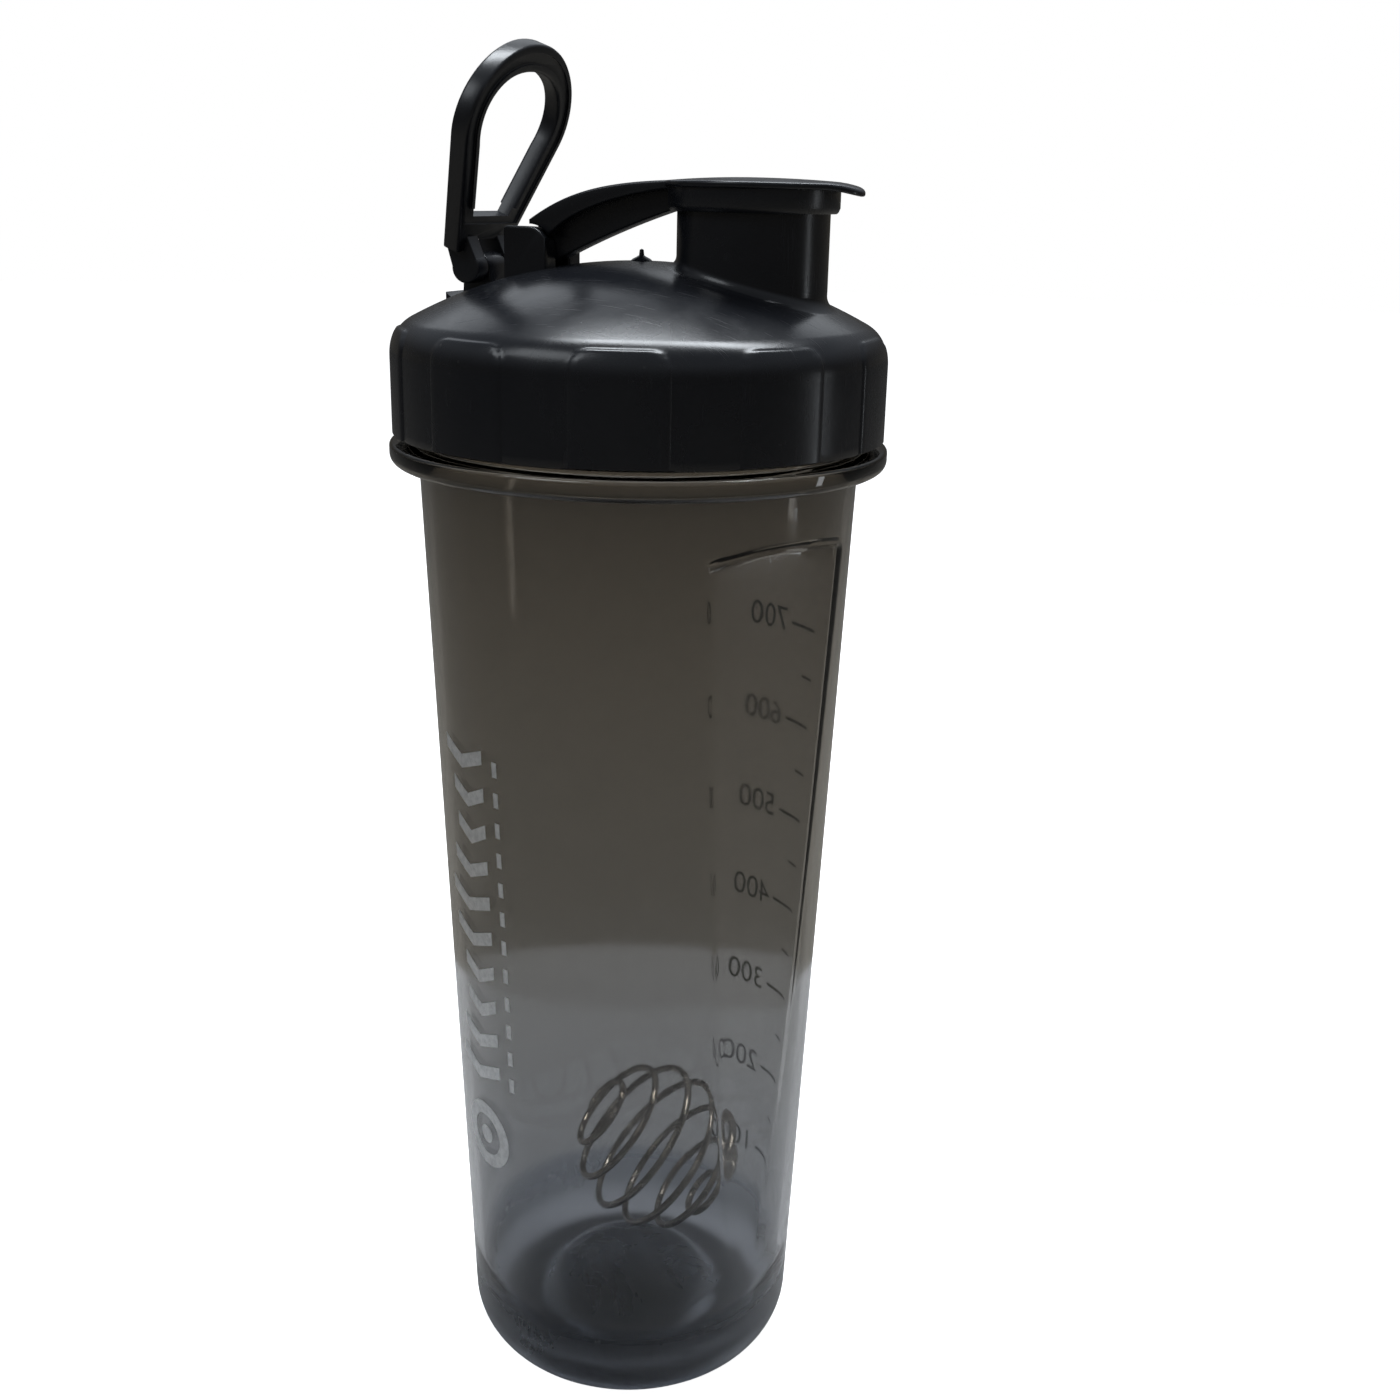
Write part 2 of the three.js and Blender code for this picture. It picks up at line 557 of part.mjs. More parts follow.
function makeWhiskBall() {
  const section = new THREE.Shape();
  section.absarc(0, 0, WIRE_RADIUS, 0, 2 * Math.PI, false);
  const wire = new THREE.ExtrudeGeometry(section, {
    steps: Math.round(BALL_TURNS * 17), curveSegments: 3, bevelEnabled: false,
    extrudePath: new BallSpiral(),
  });
  const { x, y, z } = BALL_CENTRE;
  return solid(wire.rotateY(rad(BALL_TILT)).rotateZ(rad(BALL_HEADING)).translate(x, y, z));
}

// ---- materials and assembly -------------------------------------------------------------------
const finish = (color, roughness, metalness = 0, extra = {}) =>
  new THREE.MeshStandardMaterial({ color, roughness, metalness, ...extra });
const blackPolypropylene = finish(0x14161a, 0.32);
const smokeCup = finish(0x5a5752, 0.12, 0, { transparent: true, opacity: 0.55 });

const nodes = [
  ['cup', makeCup(), smokeCup],
  ['lid', makeLid(), blackPolypropylene],
  ['lid_gasket', makeGasket(), finish(0x3b3d40, 0.7)],
  ['flip_cap', makeFlipCap(), blackPolypropylene.clone()],
  ['carry_loop', makeCarryLoop(), blackPolypropylene.clone()],
  ['cap_hinge_pin', makePin(CAP_PIN_RADIUS, PIN_REACH, CAP_PIVOT), finish(0x101215, 0.4)],
  ['loop_hinge_pin', makePin(LOOP_PIN_RADIUS, PIN_REACH, LOOP_PIVOT), finish(0x101215, 0.4)],
  ['whisk_ball', makeWhiskBall(), finish(0x8d8a86, 0.25, 1)],
];

const bottle = new THREE.Group();
for (const [name, body, material] of nodes) {
  const mesh = new THREE.Mesh(geometryOf(body), material);
  mesh.name = name;
  bottle.add(mesh);
}

export default bottle;
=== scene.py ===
# Protein shaker bottle: a smoke-clear tapered cup with a flat measuring panel, a black screw lid
# with a pouring spout, a hinged flip cap, a hinged carry loop, a gasket, two hinge pins and a
# loose wire whisk ball. Lengths are in millimetres until they reach a mesh, which is in metres.
# +Z is up and +X points from the hinges towards the spout.
import math

import bpy
from mathutils import Matrix, Vector


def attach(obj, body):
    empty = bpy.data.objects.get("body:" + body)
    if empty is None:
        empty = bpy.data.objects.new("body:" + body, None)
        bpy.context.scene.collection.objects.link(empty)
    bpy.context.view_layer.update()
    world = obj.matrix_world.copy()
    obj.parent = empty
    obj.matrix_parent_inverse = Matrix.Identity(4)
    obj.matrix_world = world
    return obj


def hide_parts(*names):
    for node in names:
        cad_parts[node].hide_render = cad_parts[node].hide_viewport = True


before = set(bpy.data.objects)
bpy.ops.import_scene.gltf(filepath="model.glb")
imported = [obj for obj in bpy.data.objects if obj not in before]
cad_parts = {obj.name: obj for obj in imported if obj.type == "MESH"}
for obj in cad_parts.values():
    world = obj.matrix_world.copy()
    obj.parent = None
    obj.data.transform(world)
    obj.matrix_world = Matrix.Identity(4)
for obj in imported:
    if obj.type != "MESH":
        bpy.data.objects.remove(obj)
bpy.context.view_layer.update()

MM = 0.001
WELD = 0.00001  # metres; points closer than this are one point

# ---- sizes ------------------------------------------------------------------------------
# cup
WALL = 1.9
FOOT_INNER = 18.2
FOOT_OUTER = 23.0
BASE_RADIUS = 35.2
BASE_ROUND_TOP = 12.2
SHOULDER_RADIUS = 42.5
FLANGE_BOTTOM = 197.4
FLANGE_TOP = 201.5
FLANGE_RADIUS = 48.0
NECK_RADIUS = 42.8
NECK_INNER = 40.9
RIM = 219.5
FLOOR_JOIN = 23.0  # height where the wall's inside meets the floor's rounding
CUP_STEPS = 288

# flat measuring panel in the cup's wall
PANEL_ANGLE = math.radians(-26)
PANEL_BOTTOM = 26.0
PANEL_TOP = 185.9
PANEL_DISTANCE_BOTTOM = 35.75
PANEL_DISTANCE_TOP = 38.35
PANEL_HALF_WIDTH = 24.0
PANEL_ARCH = 3.4

# screw thread
PITCH = 6.0
THREAD_START = 205.0
THREAD_TURNS = 1.3
NECK_CREST = 44.3
LID_CREST = 43.35
LID_THREAD_DROP = 1.1

# lid
LID_BOTTOM = 202.8
LID_RADIUS = 46.95
LID_INNER = 45.0
LID_STEPS = 360
PAD_COUNT = 10
PAD_RISE = 0.4
PAD_HALF_WIDTH = 8.4
PAD_TOP = 222.6
PAD_CORNER = 3.0
DOME_TOP = 235.0
DOME_CURVE = 92.0
DOME_EDGE = 43.2
LID_SKIN = 2.2
SHOULDER_LOW = 217.4
SEAT = 221.9
RIB_OUTER = 40.1
RIB_INNER = 38.4
RIB_BOTTOM = 217.6

# spout and flip cap
SPOUT_X = 22.0
SPOUT_RADIUS = 14.0
SPOUT_BORE = 12.0
SPOUT_TOP = 248.0
SPOUT_FOOT = 231.0  # height from which the spout's lower part is draped on the dome
SPOUT_FILLET = 2.0
CAP_BOTTOM = 248.35
CAP_TOP = 250.35
CAP_RADIUS = 16.3
CROWN = 0.8
SKIRT_OUTER = 15.7
SKIRT_INNER = 14.5
SKIRT_BOTTOM = 244.3
PLUG_OUTER = 11.4
PLUG_TIP = 11.0
PLUG_INNER = 10.0
PLUG_BOTTOM = 245.0
LIP_REACH = 20.5
LIP_RADIUS = 7.0
LIP_DROOP = 1.1
ARM_HALF_WIDTH = 6.0
WEB_HALF_WIDTH = 2.6

# hinges, as (x, z)
CAP_PIVOT = (-20.6, 236.4)
EAR_HALF_LENGTH = 4.3
EAR_INNER = 3.0
EAR_OUTER = 8.0
KNUCKLE_RADIUS = 3.3
CAP_PIN_RADIUS = 1.5
LOOP_PIVOT = (-33.0, 232.8)
LUG_HALF_WIDTH = 3.7
LUG_RADIUS = 2.8
LOOP_PIN_RADIUS = 1.4
PIN_GAP = 0.35
PIN_REACH = 7.1  # half length of both pins
CHEEK_INNER = 6.35
CHEEK_RISE = 4.4
PEDESTAL_BACK = -37.3
PEDESTAL_FRONT = -26.0
PEDESTAL_ROOT = 222.0
PEDESTAL_TOP = 228.2
SWEEP_RADIUS = 6.2  # room cut out of the pedestal for the turning loop
SWEEP_REACH = 12.0

# carry loop
LOOP_LEAN = math.radians(20.4)
LOOP_BACKSET = 3.2
LOOP_THICKNESS = 3.6
LOOP_HEIGHT = 42.2
LOOP_WIDTH = 5.2
EYE_RADIUS = 2.9
EYE_INNER = 4.1
EYE_OUTER = 8.2

# whisk ball
BALL_CENTRE = Vector((0.0, 14.6, 34.8))
BALL_RADIUS = 18.0
WIRE_RADIUS = 0.8
BALL_TURNS = 6.5
BALL_TILT = math.radians(-48)
BALL_HEADING = math.radians(24)

# print on the cup
INK_RISE = 0.03
INK_THICKNESS = 0.05
SILVER_ANGLE = math.radians(-123)
SCALE_ANGLE = math.radians(60)

# finishes
PLASTIC_IOR = 1.49
LID_BLACK = (0.0085, 0.0095, 0.0125)
PIN_BLACK = (0.008, 0.008, 0.010)

UPRIGHT_XZ = Matrix.Rotation(math.pi / 2, 4, "X")  # a flat plate, stood up facing along Y
UPRIGHT_YZ = Matrix(((0, 0, 1, 0), (1, 0, 0, 0), (0, 1, 0, 0), (0, 0, 0, 1)))  # facing along X


# ---- mesh helpers -----------------------------------------------------------------------
def nothing_selected():
    bpy.ops.object.select_all(action="DESELECT")


def only(piece):
    nothing_selected()
    piece.select_set(True)
    bpy.context.view_layer.objects.active = piece


def named(name):
    piece = bpy.context.object
    piece.name = name
    piece.data.name = name
    return piece


def arc(centre_r, centre_z, radius_r, radius_z, start, end, parts):
    """Points of an elliptical arc in a turned profile, ends included; angles in degrees."""
    angles = [math.radians(start + (end - start) * i / parts) for i in range(parts + 1)]
    return [(centre_r + radius_r * math.cos(a), centre_z + radius_z * math.sin(a)) for a in angles]


def finer(points, step):
    """The same line, with points no further apart than step."""
    line = [points[0]]
    for (r0, z0), (r1, z1) in zip(points, points[1:]):
        parts = max(1, math.ceil(math.hypot(r1 - r0, z1 - z0) / step))
        line += [(r0 + (r1 - r0) * i / parts, z0 + (z1 - z0) * i / parts) for i in range(1, parts + 1)]
    return line


def flowing(points, parts):
    """A smooth line through the points; one that starts on the axis leaves it level."""
    first, second = points[0], points[1]
    before = (-second[0], second[1]) if first[0] == 0 else first
    knots = [before, *points, points[-1]]
    line = []
    for a, b, c, d in zip(knots, knots[1:], knots[2:], knots[3:]):
        for i in range(parts):
            t = i / parts
            line.append(tuple(
                0.5 * (
                    2 * q + (r - p) * t + (2 * p - 5 * q + 4 * r - s) * t * t
                    + (3 * q - p - 3 * r + s) * t**3
                )
                for p, q, r, s in zip(a, b, c, d)
            ))
    return line + [points[-1]]


def bezier(p0, p1, p2, p3, parts):
    """Points of a cubic curve, ends included."""
    line = []
    for i in range(parts + 1):
        t = i / parts
        weights = ((1 - t) ** 3, 3 * t * (1 - t) ** 2, 3 * t * t * (1 - t), t**3)
        line.append(tuple(sum(w * p[k] for w, p in zip(weights, (p0, p1, p2, p3))) for k in (0, 1)))
    return line


def smooth_step(low, high, value):
    """Rises smoothly from 0 at low to 1 at high, or falls if low is the greater."""
    t = min(1.0, max(0.0, (value - low) / (high - low)))
    return t * t * (3 - 2 * t)


def welded():
    """Merges the doubles of the mesh in edit mode, drops loose edges and turns faces outwards."""
    bpy.ops.mesh.select_all(action="SELECT")
    bpy.ops.mesh.remove_doubles(threshold=WELD)
    bpy.ops.mesh.delete_loose(use_verts=True, use_edges=True, use_faces=False)
    bpy.ops.mesh.select_all(action="SELECT")
    bpy.ops.mesh.normals_make_consistent(inside=False)
    bpy.ops.object.mode_set(mode="OBJECT")


def turned(name, profile, steps, x=0.0):
    """A closed profile of (radius, height) points, spun about the upright line at x."""
    nothing_selected()
    bpy.ops.mesh.primitive_circle_add(vertices=len(profile), radius=MM)
    piece = named(name)
    for vertex, (radius, height) in zip(piece.data.vertices, profile):
        vertex.co = Vector((x + radius, 0, height)) * MM
    bpy.ops.object.mode_set(mode="EDIT")
    bpy.ops.mesh.select_all(action="SELECT")
    bpy.ops.mesh.spin(steps=steps, angle=2 * math.pi, center=(x * MM, 0, 0), axis=(0, 0, 1))
    welded()
    return piece


def plate(name, outlines, half, bevel, place, middle=0.0):
    """A flat plate with rounded edges; outlines are closed lines in its plane, holes last."""
    nothing_selected()
    bpy.ops.curve.primitive_bezier_circle_add()
    piece = named(name)
    line = piece.data
    line.splines.clear()
    line.dimensions = "2D"
    line.fill_mode = "BOTH"
    for outline in outlines:
        spline = line.splines.new("POLY")
        spline.points.add(len(outline) - 1)
        for point, (u, v) in zip(spline.points, outline):
            point.co = (u * MM, v * MM, 0, 1)
        spline.use_cyclic_u = True
    line.extrude = (half - bevel) * MM
    line.bevel_depth = bevel * MM
    line.bevel_resolution = 2
    line.offset = -bevel * MM
    bpy.ops.object.convert(target="MESH")
    piece = bpy.context.object
    piece.data.transform(place @ Matrix.Translation((0, 0, middle * MM)))
    bpy.ops.object.mode_set(mode="EDIT")
    welded()
    return piece


def cross_rod(name, radius, left, right, pivot, bevel=0.0, steps=64):
    """A rod along Y from left to right, with its axis at pivot = (x, z)."""
    nothing_selected()
    bpy.ops.mesh.primitive_cylinder_add(
        vertices=steps, radius=radius * MM, depth=(right - left) * MM,
        location=(pivot[0] * MM, (left + right) / 2 * MM, pivot[1] * MM), rotation=(math.pi / 2, 0, 0),
    )
    rod = named(name)
    bpy.ops.object.transform_apply(location=True, rotation=True, scale=True)
    if bevel:
        bpy.ops.object.mode_set(mode="EDIT")
        bpy.ops.mesh.select_all(action="DESELECT")
        bpy.ops.mesh.edges_select_sharp(sharpness=math.radians(60))
        bpy.ops.mesh.bevel(offset=bevel * MM, segments=3, affect="EDGES")
        bpy.ops.object.mode_set(mode="OBJECT")
    return rod


def pin_hole(radius, pivot):
    """The room that a hinge pin needs."""
    reach = PIN_REACH + PIN_GAP
    return cross_rod("pin_hole", radius + PIN_GAP, -reach, reach, pivot)


def combine(piece, other, operation="UNION"):
    """Joins other to the piece, or cuts it out of the piece."""
    only(piece)
    modifier = piece.modifiers.new("combine", "BOOLEAN")
    modifier.operation = operation
    modifier.solver = "MANIFOLD"
    modifier.object = other
    bpy.ops.object.modifier_apply(modifier=modifier.name)
    bpy.data.objects.remove(other, do_unlink=True)
    return piece


def joined(name, pieces):
    """Several closed bodies as one object."""
    nothing_selected()
    for piece in pieces:
        piece.select_set(True)
    bpy.context.view_layer.objects.active = pieces[0]
    bpy.ops.object.join()
    return named(name)


def finished(piece, material, body, slot, *nodes, angle=32):
    """Smooth shading, finish, body and the CAD nodes that the piece stands for."""
    only(piece)
    bpy.ops.object.shade_smooth_by_angle(angle=math.radians(angle))
    piece.data.materials.clear()
    piece.data.materials.append(material)
    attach(piece, body)
    if nodes:
        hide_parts(*nodes)
    return piece


# ---- material helpers -------------------------------------------------------------------
class Nodes:
    """A short way to add nodes to a tree and link them."""

    def __init__(self, tree):
        self.tree = tree

    def feed(self, socket, value):
        """Links the socket to an output, or sets it to a plain value."""
        if isinstance(value, bpy.types.NodeSocket):
            self.tree.links.new(value, socket)
        else:
            socket.default_value = value

    def add(self, kind, settings=None, **values):
        node = self.tree.nodes.new("ShaderNode" + kind)
        for key, value in (settings or {}).items():
            setattr(node, key, value)
        for key, value in values.items():
            self.feed(node.inputs[key.replace("_", " ")], value)
        return node

    def math(self, operation, first, second=0.5, clamp=False):
        node = self.tree.nodes.new("ShaderNodeMath")
        node.operation = operation
        node.use_clamp = clamp
        for socket, value in zip(node.inputs, (first, second)):
            self.feed(socket, value)
        return node.outputs[0]

    def ramp(self, value, *stops):
        """A colour ramp with stops of (place, colour or grey)."""
        node = self.tree.nodes.new("ShaderNodeValToRGB")
        band = node.color_ramp
        while len(band.elements) < len(stops):
            band.elements.new(0.5)
        for element, (place, tone) in zip(band.elements, stops):
            element.position = place
            element.color = (*tone, 1) if isinstance(tone, tuple) else (tone, tone, tone, 1)
        self.tree.links.new(value, node.inputs["Fac"])
        return node.outputs["Color"]

    def mix(self, share, first, second):
        """A colour that goes from first to second as share goes from 0 to 1."""
        node = self.tree.nodes.new("ShaderNodeMix")
        node.data_type = "RGBA"
        for place, value in ((0, share), (6, first), (7, second)):
            self.feed(node.inputs[place], value)
        return node.outputs[2]


def new_group(name, inputs, outputs):
    """A shared effect: its node group, a Nodes for it, its given inputs and its outputs to fill."""
    group = bpy.data.node_groups.new(name, "ShaderNodeTree")
    for label, value in inputs:
        socket = group.interface.new_socket(label, in_out="INPUT", socket_type="NodeSocketFloat")
        socket.default_value = value
    for label in outputs:
        group.interface.new_socket(label, in_out="OUTPUT", socket_type="NodeSocketFloat")
    enter = group.nodes.new("NodeGroupInput")
    leave = group.nodes.new("NodeGroupOutput")
    return group, Nodes(group), enter.outputs, leave.inputs


def grain_group():
    """Fine moulding grain over a slow ripple of the surface."""
    group, n, given, out = new_group("moulded_grain", [("Scale", 900.0), ("Ripple", 0.3)], ["Height"])
    place = n.add("TexCoord").outputs["Object"]
    fine = n.add("TexNoise", Vector=place, Scale=given["Scale"], Detail=4.0, Roughness=0.6)
    slow = n.add("TexNoise", Vector=place, Scale=45.0, Detail=1.0)
    rippled = n.math("MULTIPLY", slow.outputs["Fac"], given["Ripple"])
    height = n.math("ADD", fine.outputs["Fac"], rippled)
    group.links.new(height, out["Height"])
    return group


def handling_group():
    """Roughness of a handled surface: polished, with dull smudges and fine scratches."""
    inputs = [("Polish", 0.25), ("Dull", 0.45), ("Scratches", 0.1)]
    group, n, given, out = new_group("handling_marks", inputs, ["Roughness"])
    place = n.add("TexCoord").outputs["Object"]
    smudge = n.add("TexNoise", Vector=place, Scale=38.0, Detail=5.0, Roughness=0.62, Distortion=0.6)
    smudged = n.ramp(smudge.outputs["Fac"], (0.38, 0.0), (0.72, 1.0))
    spread = n.math("SUBTRACT", given["Dull"], given["Polish"])
    rough = n.math("ADD", given["Polish"], n.math("MULTIPLY", smudged, spread))
    lines = []
    for turn, stretch in ((0.4, 26.0), (-0.7, 31.0)):
        laid = n.add("Mapping", Vector=place, Rotation=(turn, turn / 2, turn), Scale=(1.0, stretch, 1.0))
        hair = n.add("TexNoise", Vector=laid.outputs["Vector"], Scale=90.0, Detail=2.0)
        lines.append(n.ramp(hair.outputs["Fac"], (0.69, 0.0), (0.73, 1.0)))
    scratch = n.math("MAXIMUM", lines[0], lines[1])
    rough = n.math("ADD", rough, n.math("MULTIPLY", scratch, given["Scratches"]), clamp=True)
    group.links.new(rough, out["Roughness"])
    return group


def dust_group():
    """Specks of dust, most on faces that look up."""
    group, n, given, out = new_group("dust", [("Amount", 0.4)], ["Mask"])
    place = n.add("TexCoord").outputs["Object"]
    specks = n.add("TexVoronoi", Vector=place, Scale=420.0)
    dots = n.ramp(specks.outputs["Distance"], (0.05, 1.0), (0.14, 0.0))
    patch = n.add("TexNoise", Vector=place, Scale=60.0, Detail=3.0)
    patchy = n.ramp(patch.outputs["Fac"], (0.52, 0.0), (0.7, 1.0))
    normal = n.add("NewGeometry").outputs["Normal"]
    upward = n.math("MULTIPLY", n.add("SeparateXYZ", Vector=normal).outputs["Z"], 1.0, clamp=True)
    mask = n.math("MULTIPLY", n.math("MULTIPLY", dots, patchy), n.math("ADD", upward, 0.25))
    mask = n.math("MULTIPLY", mask, given["Amount"], clamp=True)
    group.links.new(mask, out["Mask"])
    return group


def edge_group():
    """Mask of convex and concave edges, broken up by noise."""
    group, n, given, out = new_group("edge_wear", [("Amount", 0.5)], ["Mask"])
    rounded = n.add("Bevel", {"samples": 4}, Radius=0.0006).outputs["Normal"]
    flat = n.add("NewGeometry").outputs["Normal"]
    same = n.add("VectorMath", {"operation": "DOT_PRODUCT"})
    group.links.new(rounded, same.inputs[0])
    group.links.new(flat, same.inputs[1])
    edge = n.math("SUBTRACT", 1.0, same.outputs["Value"])
    edge = n.math("MULTIPLY", edge, 7.0, clamp=True)
    place = n.add("TexCoord").outputs["Object"]
    broken = n.add("TexNoise", Vector=place, Scale=260.0, Detail=4.0)
    chipped = n.math("MULTIPLY", edge, n.ramp(broken.outputs["Fac"], (0.35, 0.2), (0.65, 1.0)))
    group.links.new(n.math("MULTIPLY", chipped, given["Amount"], clamp=True), out["Mask"])
    return group


GRAIN, HANDLING, DUST, EDGE = grain_group(), handling_group(), dust_group(), edge_group()


def placed(n, group, **values):
    """Places a shared effect in a material with its own values."""
    node = n.tree.nodes.new("ShaderNodeGroup")
    node.node_tree = group
    for key, value in values.items():
        node.inputs[key].default_value = value
    return node.outputs


def new_material(name):
    material = bpy.data.materials.new(name)
    material.use_nodes = True
    return material, Nodes(material.node_tree), material.node_tree.nodes["Principled BSDF"]


def bumped(n, shader, height, strength, distance):
    bump = n.add("Bump", Strength=strength, Distance=distance, Height=height)
    n.feed(shader.inputs["Normal"], bump.outputs["Normal"])


def black_plastic(name, tone, polish, dull, grain=1100.0, ripple=0.5):
    """Satin black moulded polypropylene."""
    material, n, shader = new_material(name)
    marks = placed(n, HANDLING, Polish=polish, Dull=dull, Scratches=0.12)
    dust = placed(n, DUST, Amount=0.35)["Mask"]
    worn = placed(n, EDGE, Amount=0.2)["Mask"]
    lighter = tuple(2.6 * c + 0.004 for c in tone)
    colour = n.mix(worn, (*tone, 1), (*lighter, 1))
    colour = n.mix(dust, colour, (0.16, 0.155, 0.15, 1))
    n.feed(shader.inputs["Base Color"], colour)
    n.feed(shader.inputs["Roughness"], marks["Roughness"])
    shader.inputs["IOR"].default_value = PLASTIC_IOR
    bumped(n, shader, placed(n, GRAIN, Scale=grain, Ripple=ripple)["Height"], 0.16, 0.00006)
    return material


def smoke_plastic():
    """Glossy smoke-tinted clear plastic; its colour also holds a painted reflection that turns it browner
    towards the neck, and a painted band of refraction shade just above the foot, cooler and hazy at the
    base.
    """
    material, n, shader = new_material("smoke_clear_plastic")
    place = n.add("TexCoord").outputs["Object"]
    height = n.add("SeparateXYZ", Vector=place).outputs["Z"]
    up = n.math("DIVIDE", height, 0.2)  # 1 is 0.2 m up, at the flange
    cloud = n.add("TexNoise", Vector=place, Scale=22.0, Detail=2.0)
    drift = n.math("MULTIPLY", n.math("SUBTRACT", cloud.outputs["Fac"], 0.5), 0.02)
    # smoke tint with painted light: the ramp paints a warm brown reflection towards the neck and a dark
    # band of refraction shade from 13 to 20 mm up
    smoke_tint_and_painted_light = n.ramp(
        n.math("ADD", up, drift), (0.0, (0.62, 0.65, 0.71)), (0.04, (0.56, 0.59, 0.65)),
        (0.065, (0.32, 0.345, 0.39)), (0.1, (0.30, 0.325, 0.37)), (0.112, (0.49, 0.50, 0.52)),
        (0.40, (0.47, 0.465, 0.455)), (1.0, (0.48, 0.445, 0.395)),
    )
    n.feed(shader.inputs["Base Color"], smoke_tint_and_painted_light)
    marks = placed(n, HANDLING, Polish=0.015, Dull=0.07, Scratches=0.06)
    haze = n.ramp(up, (0.0, 0.28), (0.09, 0.24), (0.105, 0.0))
    n.feed(shader.inputs["Roughness"], n.math("ADD", marks["Roughness"], haze))
    shader.inputs["Transmission Weight"].default_value = 1.0
    shader.inputs["IOR"].default_value = PLASTIC_IOR
    flow = n.add("Mapping", Vector=place, Scale=(1.0, 1.0, 0.08))
    streaks = n.add("TexNoise", Vector=flow.outputs["Vector"], Scale=70.0, Detail=2.0)
    bumped(n, shader, streaks.outputs["Fac"], 0.1, 0.0004)
    return material


def gasket_rubber():
    """Dull dark silicone with a pale bloom."""
    material, n, shader = new_material("gasket_silicone")
    place = n.add("TexCoord").outputs["Object"]
    bloom = n.add("TexNoise", Vector=place, Scale=110.0, Detail=4.0)
    colour = n.ramp(bloom.outputs["Fac"], (0.3, (0.035, 0.036, 0.038)), (0.75, (0.075, 0.075, 0.078)))
    n.feed(shader.inputs["Base Color"], colour)
    marks = placed(n, HANDLING, Polish=0.55, Dull=0.75, Scratches=0.05)
    n.feed(shader.inputs["Roughness"], marks["Roughness"])
    bumped(n, shader, placed(n, GRAIN, Scale=1500.0, Ripple=0.2)["Height"], 0.2, 0.00005)
    return material


def drawn_steel():
    """Drawn stainless wire, browned in patches."""
    material, n, shader = new_material("drawn_stainless_wire")
    place = n.add("TexCoord").outputs["Object"]
    tarnish = n.add("TexNoise", Vector=place, Scale=140.0, Detail=4.0, Roughness=0.6)
    colour = n.ramp(tarnish.outputs["Fac"], (0.3, (0.36, 0.30, 0.24)), (0.7, (0.62, 0.57, 0.50)))
    n.feed(shader.inputs["Base Color"], colour)
    marks = placed(n, HANDLING, Polish=0.16, Dull=0.34, Scratches=0.2)
    n.feed(shader.inputs["Roughness"], marks["Roughness"])
    shader.inputs["Metallic"].default_value = 1.0
    bumped(n, shader, placed(n, GRAIN, Scale=2200.0, Ripple=0.1)["Height"], 0.12, 0.00003)
    return material


def screen_ink(name, light, dark, metallic, rough):
    """Printed ink with a mottled film."""
    material, n, shader = new_material(name)
    place = n.add("TexCoord").outputs["Object"]
    film = n.add("TexNoise", Vector=place, Scale=700.0, Detail=5.0, Roughness=0.7)
    colour = n.ramp(film.outputs["Fac"], (0.3, dark), (0.6, light))
    n.feed(shader.inputs["Base Color"], colour)
    marks = placed(n, HANDLING, Polish=rough, Dull=rough + 0.2, Scratches=0.1)
    n.feed(shader.inputs["Roughness"], marks["Roughness"])
    shader.inputs["Metallic"].default_value = metallic
    bumped(n, shader, placed(n, GRAIN, Scale=1800.0, Ripple=0.1)["Height"], 0.15, 0.00003)
    return material


# ---- cup ----------------------------------------------------------------------------------
def cup_radius(height):
    """Outer radius of the tapered wall."""
    share = (height - BASE_ROUND_TOP) / (FLANGE_BOTTOM - BASE_ROUND_TOP)
    return BASE_RADIUS + (SHOULDER_RADIUS - BASE_RADIUS) * share


def wall_heights(low):
    """Rings of the wall: coarse, and close together where the panel's arched top is."""
    arch_low, arch_high, close, coarse = PANEL_TOP - 5.2, PANEL_TOP + 3.6, 0.4, 4.0
    rows = max(1, round((arch_low - low) / coarse))
    heights = [low + (arch_low - low) * i / rows for i in range(rows)]
    rows = round((arch_high - arch_low) / close)
    heights += [arch_low + (arch_high - arch_low) * i / rows for i in range(rows + 1)]
    return heights + [arch_high + 2.4, arch_high + 4.8]


